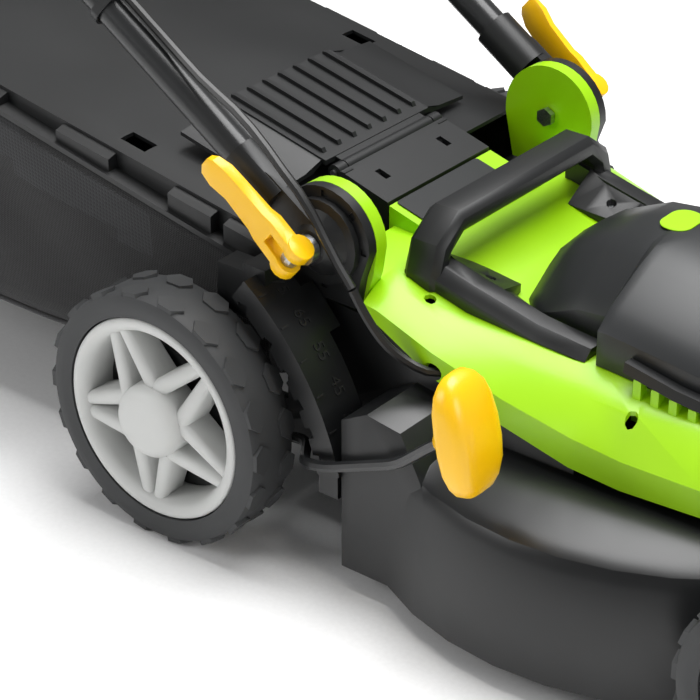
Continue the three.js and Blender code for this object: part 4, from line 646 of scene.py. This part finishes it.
# ---------------------------------------------------------------- height lever knob
# Height along the pad, half width, depth behind and in front of its middle plane, in millimetres.
PAD_ROWS = [(-43, 3, 1, 2), (-42, 10, 2.5, 7), (-39, 15, 4, 11), (-33, 19.5, 6, 14.5),
            (-22, 23.5, 7.4, 17.5), (-8, 25, 7.8, 18.5), (8, 25, 7.8, 18), (22, 23.6, 7.4, 16),
            (32, 20.5, 6, 13), (38.5, 15.5, 4, 9), (41.8, 10, 2.5, 5), (43, 3, 1, 1.5)]
PAD_SIDES = 32
PAD_SQUARE = 0.6  # 1 is an oval section, and a smaller number is a squarer one
PAD_CENTRE, PAD_LEAN = (272.0, -230.0, 190.0), 12.0
NECK_FROM, NECK_DIR = (256.0, -224.0, 176.0), (13.0, -2.0, 10.0)
# Distance along the neck and radius, in millimetres.
NECK_ROWS = [(-10, 2), (-9.4, 6), (-7.4, 8.4), (-3, 9.8), (4, 10.6), (12, 12.5), (17, 15)]
NECK_SIDES, NECK_FLATNESS = 24, 0.86


def make_knob():
    bm = bmesh.new()
    turn = Matrix.Rotation(math.radians(-PAD_LEAN), 3, "Y")
    rows = []
    for q, half, back, front in PAD_ROWS:
        row = []
        for k in range(PAD_SIDES):
            a = 2 * math.pi * k / PAD_SIDES
            c, t = math.cos(a), math.sin(a)
            x = math.copysign(abs(c) ** PAD_SQUARE, c) * (front if c > 0 else back)
            y = math.copysign(abs(t) ** PAD_SQUARE, t) * half
            place = turn @ Vector((x, y, q))
            row.append(bm.verts.new(at(*(place + Vector(PAD_CENTRE)))))
        rows.append(row)
    stack(bm, rows)
    along = Vector(NECK_DIR).normalized()
    start = Vector(NECK_FROM)
    over = along.cross(Vector((0, 1, 0))).normalized()
    rows = []
    for s, r in NECK_ROWS:
        ring = []
        for k in range(NECK_SIDES):
            a = 2 * math.pi * k / NECK_SIDES
            ring.append(bm.verts.new(at(*(start + along * s + Vector((0, 1, 0)) * r * math.cos(a)
                                          + over * r * NECK_FLATNESS * math.sin(a)))))
        rows.append(ring)
    stack(bm, rows)
    bmesh.ops.recalc_face_normals(bm, faces=bm.faces)
    knob = new_piece("height_knob_pad", bm, YELLOW_POM, "rear_crank", 55)
    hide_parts("height_lever_knob")


# ---------------------------------------------------------------- height scale
SCALE_CENTRE = (-66.0, 43.0)
SCALE_RADIUS = 217.0
SCALE_NUMBERS = (75, 65, 55, 45, 35, 25)
SCALE_FROM, SCALE_STEP = 50.0, 7.1  # degrees round the scale
NUMERAL_HEIGHT, NUMERAL_RELIEF = 0.0145, 0.0004
NUMERAL_Y, TICK_NEAR, TICK_FAR = -176, -191, -198
TICK_HALF = 0.18  # degrees


def scale_place(degrees, y, lift):
    """A place on the scale's round face, in degrees round it, lifted off it by some millimetres."""
    a = math.radians(degrees)
    r = SCALE_RADIUS + lift
    return at(SCALE_CENTRE[0] + r * math.cos(a), y, SCALE_CENTRE[1] + r * math.sin(a))


def make_scale():
    bm = bmesh.new()
    for k, number in enumerate(SCALE_NUMBERS):
        degrees = SCALE_FROM - k * SCALE_STEP
        text = bpy.data.curves.new(f"numeral_{number}", "FONT")
        text.body, text.size, text.extrude = str(number), NUMERAL_HEIGHT, NUMERAL_RELIEF
        text.align_x, text.align_y = "CENTER", "CENTER"
        source = bpy.data.objects.new("numeral", text)
        bpy.context.scene.collection.objects.link(source)
        evaluated = source.evaluated_get(bpy.context.evaluated_depsgraph_get())
        mesh = bpy.data.meshes.new_from_object(evaluated)
        a = math.radians(degrees)
        out = Vector((math.cos(a), 0, math.sin(a)))
        up = Vector((0, 1, 0))
        right = up.cross(out)
        turn = Matrix((right, up, out)).transposed().to_4x4()
        mesh.transform(Matrix.Translation(scale_place(degrees, NUMERAL_Y, 0.3)) @ turn)
        bm.from_mesh(mesh)
        bpy.data.objects.remove(source)
    for k in range(len(SCALE_NUMBERS)):  # a short tick below each number
        degrees = SCALE_FROM - k * SCALE_STEP
        corners = [scale_place(degrees + d, y, lift) for lift in (0.05, 0.7) for d, y in
                   ((-TICK_HALF, TICK_FAR), (TICK_HALF, TICK_FAR), (TICK_HALF, TICK_NEAR),
                    (-TICK_HALF, TICK_NEAR))]
        v = [bm.verts.new(c) for c in corners]
        for f in ((3, 2, 1, 0), (4, 5, 6, 7), (0, 1, 5, 4), (1, 2, 6, 5), (2, 3, 7, 6), (3, 0, 4, 7)):
            bm.faces.new([v[i] for i in f])
    bmesh.ops.recalc_face_normals(bm, faces=bm.faces)
    new_piece("height_scale_numerals", bm, SCALE_RELIEF, "mower", 30)


# ---------------------------------------------------------------- repeated small parts
def repeat_tree(name):
    """Copies of one small shape on the vertices of a mesh, turned to each vertex's own outward direction."""
    tree, source, ids = new_tree(name, {
        "Shape": ("NodeSocketObject", None), "Finish": ("NodeSocketMaterial", None)})
    shape = add(tree, "GeometryNodeObjectInfo", None, {"Object": source["Shape"]}).outputs["Geometry"]
    normal = add(tree, "GeometryNodeInputNamedAttribute", {"data_type": "FLOAT_VECTOR", "Name": "out"})
    turn = add(tree, "FunctionNodeAlignRotationToVector", {"axis": "Z"},
               {"Vector": normal.outputs["Attribute"]})
    placed = add(tree, "GeometryNodeInstanceOnPoints", None, {
        "Points": source["Geometry"], "Instance": shape, "Rotation": turn.outputs["Rotation"]})
    real = add(tree, "GeometryNodeRealizeInstances", None, {"Geometry": placed.outputs["Instances"]})
    painted = add(tree, "GeometryNodeSetMaterial", None,
                  {"Geometry": real.outputs["Geometry"], "Material": source["Finish"]})
    add(tree, "NodeGroupOutput", None, {"Geometry": painted.outputs["Geometry"]})
    return tree, ids


def repeated(name, shape_mesh, places, material, body):
    """shape_mesh at every (place, outward direction) of places."""
    tree, ids = repeat_tree(name + "_rule")
    shape = bpy.data.objects.new(name + "_shape", shape_mesh)
    bpy.context.scene.collection.objects.link(shape)
    base = bpy.data.meshes.new(name + "_places")
    base.from_pydata([p for p, _ in places], [], [])
    field = base.attributes.new("out", "FLOAT_VECTOR", "POINT")
    for i, (_, n) in enumerate(places):
        field.data[i].vector = n
    out = applied(name, base, tree, ids, {"Shape": shape, "Finish": material}, material, body)
    bpy.data.objects.remove(shape)
    return out


# Radius and height of the screw head's rows, then of its recess's floor, whose radius dips between points.
SCREW_ROWS = [(0.0040, 0.0), (0.0040, 0.0009), (0.0033, 0.0021), (0.0019, 0.0027)]
RECESS_RADIUS, RECESS_FLOOR, RECESS_DIP = 0.0012, 0.0012, 0.35
SCREW_SIDES = 16


def screw_head():
    """A pan-head screw 8 mm across with a star recess, its seat at z = 0."""
    bm = bmesh.new()
    angles = [2 * math.pi * k / SCREW_SIDES for k in range(SCREW_SIDES)]
    rows = [[bm.verts.new((r * math.cos(a), r * math.sin(a), z)) for a in angles] for r, z in SCREW_ROWS]
    for a, b in zip(rows, rows[1:]):
        band(bm, a, b)
    deep = []
    for k, a in enumerate(angles):
        r = RECESS_RADIUS * (RECESS_DIP if k % 2 else 1)
        deep.append(bm.verts.new((r * math.cos(a), r * math.sin(a), RECESS_FLOOR)))
    band(bm, rows[-1], deep)
    bm.faces.new(deep)
    bm.faces.new(list(reversed(rows[0])))
    return mesh_from(bm, "screw_head")


def rib_mesh(points, half):
    """A rib with the given outline (x, z), from y = -half to y = half."""
    bm = bmesh.new()
    near = [bm.verts.new((x, -half, z)) for x, z in points]
    far = [bm.verts.new((x, half, z)) for x, z in points]
    stack(bm, [near, far])
    outward(bm)
    return mesh_from(bm, "rib")


FLAP_SLOPE = 0.235
FLAP_HEIGHT, FLAP_EDGE = 247, 30  # the flap's top in millimetres, where x is FLAP_EDGE
# Each flap rib's side view: x, and height over the flap, in millimetres.
FLAP_RIB = [(16, -1.5), (13, 3.0), (-70, 3.0), (-74, 2.0), (-74.4, -1.5)]
FLAP_RIB_HALF = 0.002


def make_flap_ribs():
    """Seven stiffening ribs on the flap, 18 mm apart."""
    def top(x):
        return (FLAP_HEIGHT + (FLAP_EDGE - x) * FLAP_SLOPE) / 1000

    outline = [(x / 1000, top(x) + lift / 1000) for x, lift in FLAP_RIB]
    places = [(Vector((SHIFT.x, SHIFT.y + y / 1000, 0)), (0, 0, 1)) for y in range(-54, 55, 18)]
    repeated("flap_ribs", rib_mesh(outline, FLAP_RIB_HALF), places, BLACK_NYLON, "rear_flap")


STITCHES, STITCH_PITCH, STITCH_FROM = 60, 6.0, -440.0
STITCH_Y, STITCH_DROP = 161.6, 12
STITCH_PATH = [(-0.0019, 0, 0), (-0.001, 0, 0.0006), (0.001, 0, 0.0006), (0.0019, 0, 0)]
THREAD_RADIUS = 0.0004


def make_bag_stitches():
    """A row of lock stitches along each top seam of the bag, 6 mm apart."""
    bm = bmesh.new()
    swept(bm, STITCH_PATH, circle(THREAD_RADIUS, 5))
    places = []
    for side in (-1, 1):
        for k in range(STITCHES):
            x = STITCH_FROM + STITCH_PITCH * k
            places.append((at(x, side * STITCH_Y, rail_z(x) - STITCH_DROP), (0, side, 0)))
    repeated("bag_seam_stitches", mesh_from(bm, "stitch"), places, SEAM_THREAD, "grass_bag")


# The two screws at each side of the cover: x, distance from the middle and height, in millimetres.
SCREW_PLACES = ((174, 84, 211.5), (182, 76, 205.2))


def make_screws():
    places = []
    for side in (-1, 1):
        for x, y, z in SCREW_PLACES:
            places.append((at(x, side * y, z), (0.0, 0.0, 1.0)))
    repeated("cover_screws", screw_head(), places, ZINC_STEEL, "mower")


# ---------------------------------------------------------------- grass bag
BAG_FRONT, BAG_BACK = 41.0, -479.0
BAG_RINGS = 44
RAIL_TOP, RAIL_SLOPE = 218, 0.2018
SEAM_DROP = 6  # the cloth's top edge below the rail
BAG_CORNER = 26
SIDE_STEPS, CORNER_STEPS, FLOOR_STEPS = 12, 5, 6
# x, half width and floor height of the bag's sections, in millimetres.
BAG_SECTIONS = [(-479, 140, 106), (-461, 151, 91), (-389, 157, 81), (-198, 159, 81), (-60, 159, 89),
                (20, 158.5, 104), (41, 151.5, 108)]
NET_BACK, NET_FRONT, NET_TOP, NET_DEPTH, NET_SLOPE = -420, -60, 6, 46, 0.02
SIDE_FROM = 0.12  # a face farther than this from the middle, in metres, is on a side panel
CLOTH_THICKNESS = 0.0016


def rail_z(x):
    """Height of the rails of the bag's lid at x."""
    return RAIL_TOP - RAIL_SLOPE * x


def bag_row(x):
    """(half width, floor height) of the bag at x, from its mouth to its back."""
    for (x0, h0, f0), (x1, h1, f1) in zip(BAG_SECTIONS, BAG_SECTIONS[1:]):
        if x <= x1:
            t = (x - x0) / (x1 - x0)
            t = t * t * (3 - 2 * t)
            return h0 + (h1 - h0) * t, f0 + (f1 - f0) * t
    return BAG_SECTIONS[-1][1:]


def bag_outline(x):
    """Points of one section from the right rail down, under and up to the left rail, in millimetres."""
    half, floor = bag_row(x)
    top, corner = rail_z(x) - SEAM_DROP, BAG_CORNER
    side = [(-half, top - (top - floor - corner) * k / SIDE_STEPS) for k in range(SIDE_STEPS + 1)]
    turn = []
    for k in range(1, CORNER_STEPS + 1):
        a = math.pi / 2 * k / CORNER_STEPS
        turn.append((-half + corner * (1 - math.cos(a)), floor + corner * (1 - math.sin(a))))
    under = [(-half + corner + (half - corner) * k / FLOOR_STEPS, floor) for k in range(1, FLOOR_STEPS + 1)]
    right = side + turn + under
    return right + [(-y, z) for y, z in reversed(right[:-1])]


def sag(x, y, z, half, floor):
    """Slack cloth: panels draw in a little between the rail and the floor, with soft diagonal folds."""
    top = rail_z(x) - SEAM_DROP
    t = max(0.0, min(1.0, (z - floor) / (top - floor)))
    along = max(0.0, min(1.0, (x - BAG_BACK) / (BAG_FRONT - BAG_BACK)))
    middle = math.sin(math.pi * t) * math.sin(math.pi * along) ** 0.5
    fold = math.sin(x / 23.0 + z / 17.0) * 0.9 + math.sin(x / 41.0 - z / 29.0 + 1.3) * 1.4
    inward = middle * (2.6 + fold)
    if abs(y) > half - BAG_CORNER - 1:
        y -= math.copysign(inward, y)
    else:
        z += 1.2 * (1 - abs(y) / half) * math.sin(math.pi * along)
    return y, z


def make_bag():
    """The bag's cloth, open at the mouth, and its area in square metres."""
    bm = bmesh.new()
    uv = bm.loops.layers.uv.new("cloth")
    stations = [BAG_BACK + (BAG_FRONT - BAG_BACK) * i / BAG_RINGS for i in range(BAG_RINGS + 1)]
    grid, place = [], {}
    for x in stations:
        half, floor = bag_row(x)
        row, run, last = [], 0.0, None
        for y, z in bag_outline(x):
            if last:
                run += math.hypot(y - last[0], z - last[1])
            last = (y, z)
            sy, sz = sag(x, y, z, half, floor)
            v = bm.verts.new(at(x, sy, sz))
            place[v] = (x / 1000, run / 1000)
            row.append(v)
        grid.append(row)
    for i, (a, b) in enumerate(zip(grid, grid[1:])):
        for k in range(len(a) - 1):
            face = bm.faces.new((a[k], b[k], b[k + 1], a[k + 1]))
            x = (stations[i] + stations[i + 1]) / 2
            middle = face.calc_center_median()
            side = abs(middle.y - SHIFT.y) > SIDE_FROM
            below = rail_z(x) - SEAM_DROP - middle.z * 1000
            deepest = NET_DEPTH + (x - NET_FRONT) * NET_SLOPE
            if side and NET_BACK < x < NET_FRONT and NET_TOP < below < deepest:
                face.material_index = 1
            for loop in face.loops:
                loop[uv].uv = place[loop.vert]
    back = grid[0]
    count = len(back)
    loop_faces = []
    for k in range(count // 2):  # the flat back panel, strip by strip across the section
        a, b = back[k], back[k + 1]
        c, d = back[count - 2 - k], back[count - 1 - k]
        if len({a, b, c, d}) == 4:
            loop_faces.append(bm.faces.new((a, b, c, d)))
        elif len({a, b, d}) == 3:
            loop_faces.append(bm.faces.new((a, b, d)))
    for face in loop_faces:
        for loop in face.loops:
            p = loop.vert.co
            loop[uv].uv = (p.y, p.z)
    bmesh.ops.recalc_face_normals(bm, faces=bm.faces)
    area = sum(f.calc_area() for f in bm.faces)
    bag = new_piece("bag_cloth", bm, [BAG_CLOTH, BAG_NET], "grass_bag", 50)
    thick = bag.modifiers.new("thickness", "SOLIDIFY")
    thick.thickness, thick.offset = CLOTH_THICKNESS, -1.0
    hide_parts("bag_fabric")
    return bag, area


PIPING_RADIUS, PIPING_INSET, PIPING_POINTS = 0.0021, 7.0, 30


def make_bag_trim():
    """Piped edges: a round binding along each lower corner of the bag and round its back panel."""
    bm = bmesh.new()
    cord = circle(PIPING_RADIUS, 8)
    for side in (-1, 1):
        line = []
        for i in range(PIPING_POINTS):
            x = BAG_BACK + 8 + (BAG_FRONT - 12 - BAG_BACK) * i / (PIPING_POINTS - 1)
            half, floor = bag_row(x)
            line.append(at(x, side * (half - PIPING_INSET), floor + PIPING_INSET))
        swept(bm, line, cord)
    swept(bm, [at(BAG_BACK + 1.0, y, z) for y, z in bag_outline(BAG_BACK)], cord)
    outward(bm)
    new_piece("bag_bound_edges", bm, BINDING_TAPE, "grass_bag", 50)


# ---------------------------------------------------------------- badge, plate and clips
def rounded_slab(name, centre, size, corner, turn, material, body):
    """A thin plate with round corners and a soft top edge: size is (x, y, thickness) in metres."""
    bm = bmesh.new()
    outline = []
    hx, hy = size[0] / 2 - corner, size[1] / 2 - corner
    for k in range(4):
        cx, cy = (hx, -hx, -hx, hx)[k], (hy, hy, -hy, -hy)[k]
        for j in range(7):
            a = math.pi / 2 * (k + j / 6)
            outline.append((cx + corner * math.cos(a), cy + corner * math.sin(a)))
    rows = []
    for inset, z in ((0.0, 0.0), (0.0, size[2] * 0.6), (size[2] * 0.4, size[2])):
        scale_x, scale_y = 1 - 2 * inset / size[0], 1 - 2 * inset / size[1]
        rows.append([bm.verts.new((x * scale_x, y * scale_y, z)) for x, y in outline])
    for a, b in zip(rows, rows[1:]):
        band(bm, a, b)
    bm.faces.new(rows[-1])
    bm.faces.new(list(reversed(rows[0])))
    bm.transform(Matrix.Translation(centre) @ turn)
    new_piece(name, bm, material, body, 30)


SPINE_TILT = math.radians(14.5)


def make_plates():
    tilt = Matrix.Rotation(SPINE_TILT, 4, "Y")
    rounded_slab("blank_spine_plate", at(96, -6, 226.6), (0.030, 0.098, 0.0006), 0.003, tilt, COVER_ABS,
                 "mower")
    rounded_slab("blank_cover_badge", at(287, 0, 257.5), (0.024, 0.034, 0.0008), 0.011,
                 Matrix.Identity(4), LIME_ABS, "mower")


def on_handle(angle, start, s, y, lift):
    """A place s along a handle tube from its start, lifted off its centre line, in millimetres."""
    a = math.radians(angle)
    x = start[0] - s * math.cos(a) + lift * math.sin(a)
    return at(x, y, start[1] + s * math.sin(a) + lift * math.cos(a))


# Name, body, tube angle in degrees, tube start (x, z), tube y, cable lift and clips' places along the tube.
CLIP_SETS = (
    ("lower_cable_clips", "lower_handle", 33.6, (89.0, 238.5), -151, 19.4, (230, 400)),
    ("upper_cable_clips", "upper_handle", 46.0, (-310.80, 504.13), -140, 21.4, (90, 300)),
)
TUBE_RADIUS, CABLE_RADIUS = 0.0125, 0.0036
STRAP_INNER, STRAP_OUTER, STRAP_HALF = 0.0009, 0.0026, 0.0035


def make_clips():
    """Moulded clips that hold the cable on the tubes: a strap round both, 7 mm wide."""
    for name, body, angle, start, y, lift, stations in CLIP_SETS:
        bm = bmesh.new()
        for s in stations:
            centre = on_handle(angle, start, s, y, 0)
            top = on_handle(angle, start, s, y, lift)
            up = (top - centre).normalized()
            along = (on_handle(angle, start, s + 1, y, 0) - centre).normalized()
            side = along.cross(up)
            loops = []
            for grow in (STRAP_INNER, STRAP_OUTER):
                loop = []
                for middle, radius, first, steps in ((centre, TUBE_RADIUS + grow, math.pi, 16),
                                                     (top, CABLE_RADIUS + grow, 0.0, 8)):
                    for k in range(steps + 1):
                        a = first + math.pi * k / steps
                        loop.append(middle + side * radius * math.cos(a) + up * radius * math.sin(a))
                loops.append(loop)
            rows = [[bm.verts.new(p + along * w) for p in loops[g]] for g, w in
                    ((0, -STRAP_HALF), (1, -STRAP_HALF), (1, STRAP_HALF), (0, STRAP_HALF))]
            for i in range(4):
                band(bm, rows[i], rows[(i + 1) % 4])
        outward(bm)
        new_piece(name, bm, BLACK_NYLON, body, 40)


# ---------------------------------------------------------------- the scene
make_camera()
make_surroundings()
floor_bm = bmesh.new()
bmesh.ops.create_grid(floor_bm, x_segments=1, y_segments=1, size=9)
new_piece("studio_floor", floor_bm, plain_floor(), None)
finish_nodes()
make_tyres()
make_rims()
make_knob()
make_scale()
make_flap_ribs()
make_screws()
bag, bag_area = make_bag()
make_bag_trim()
make_bag_stitches()
make_plates()
make_clips()
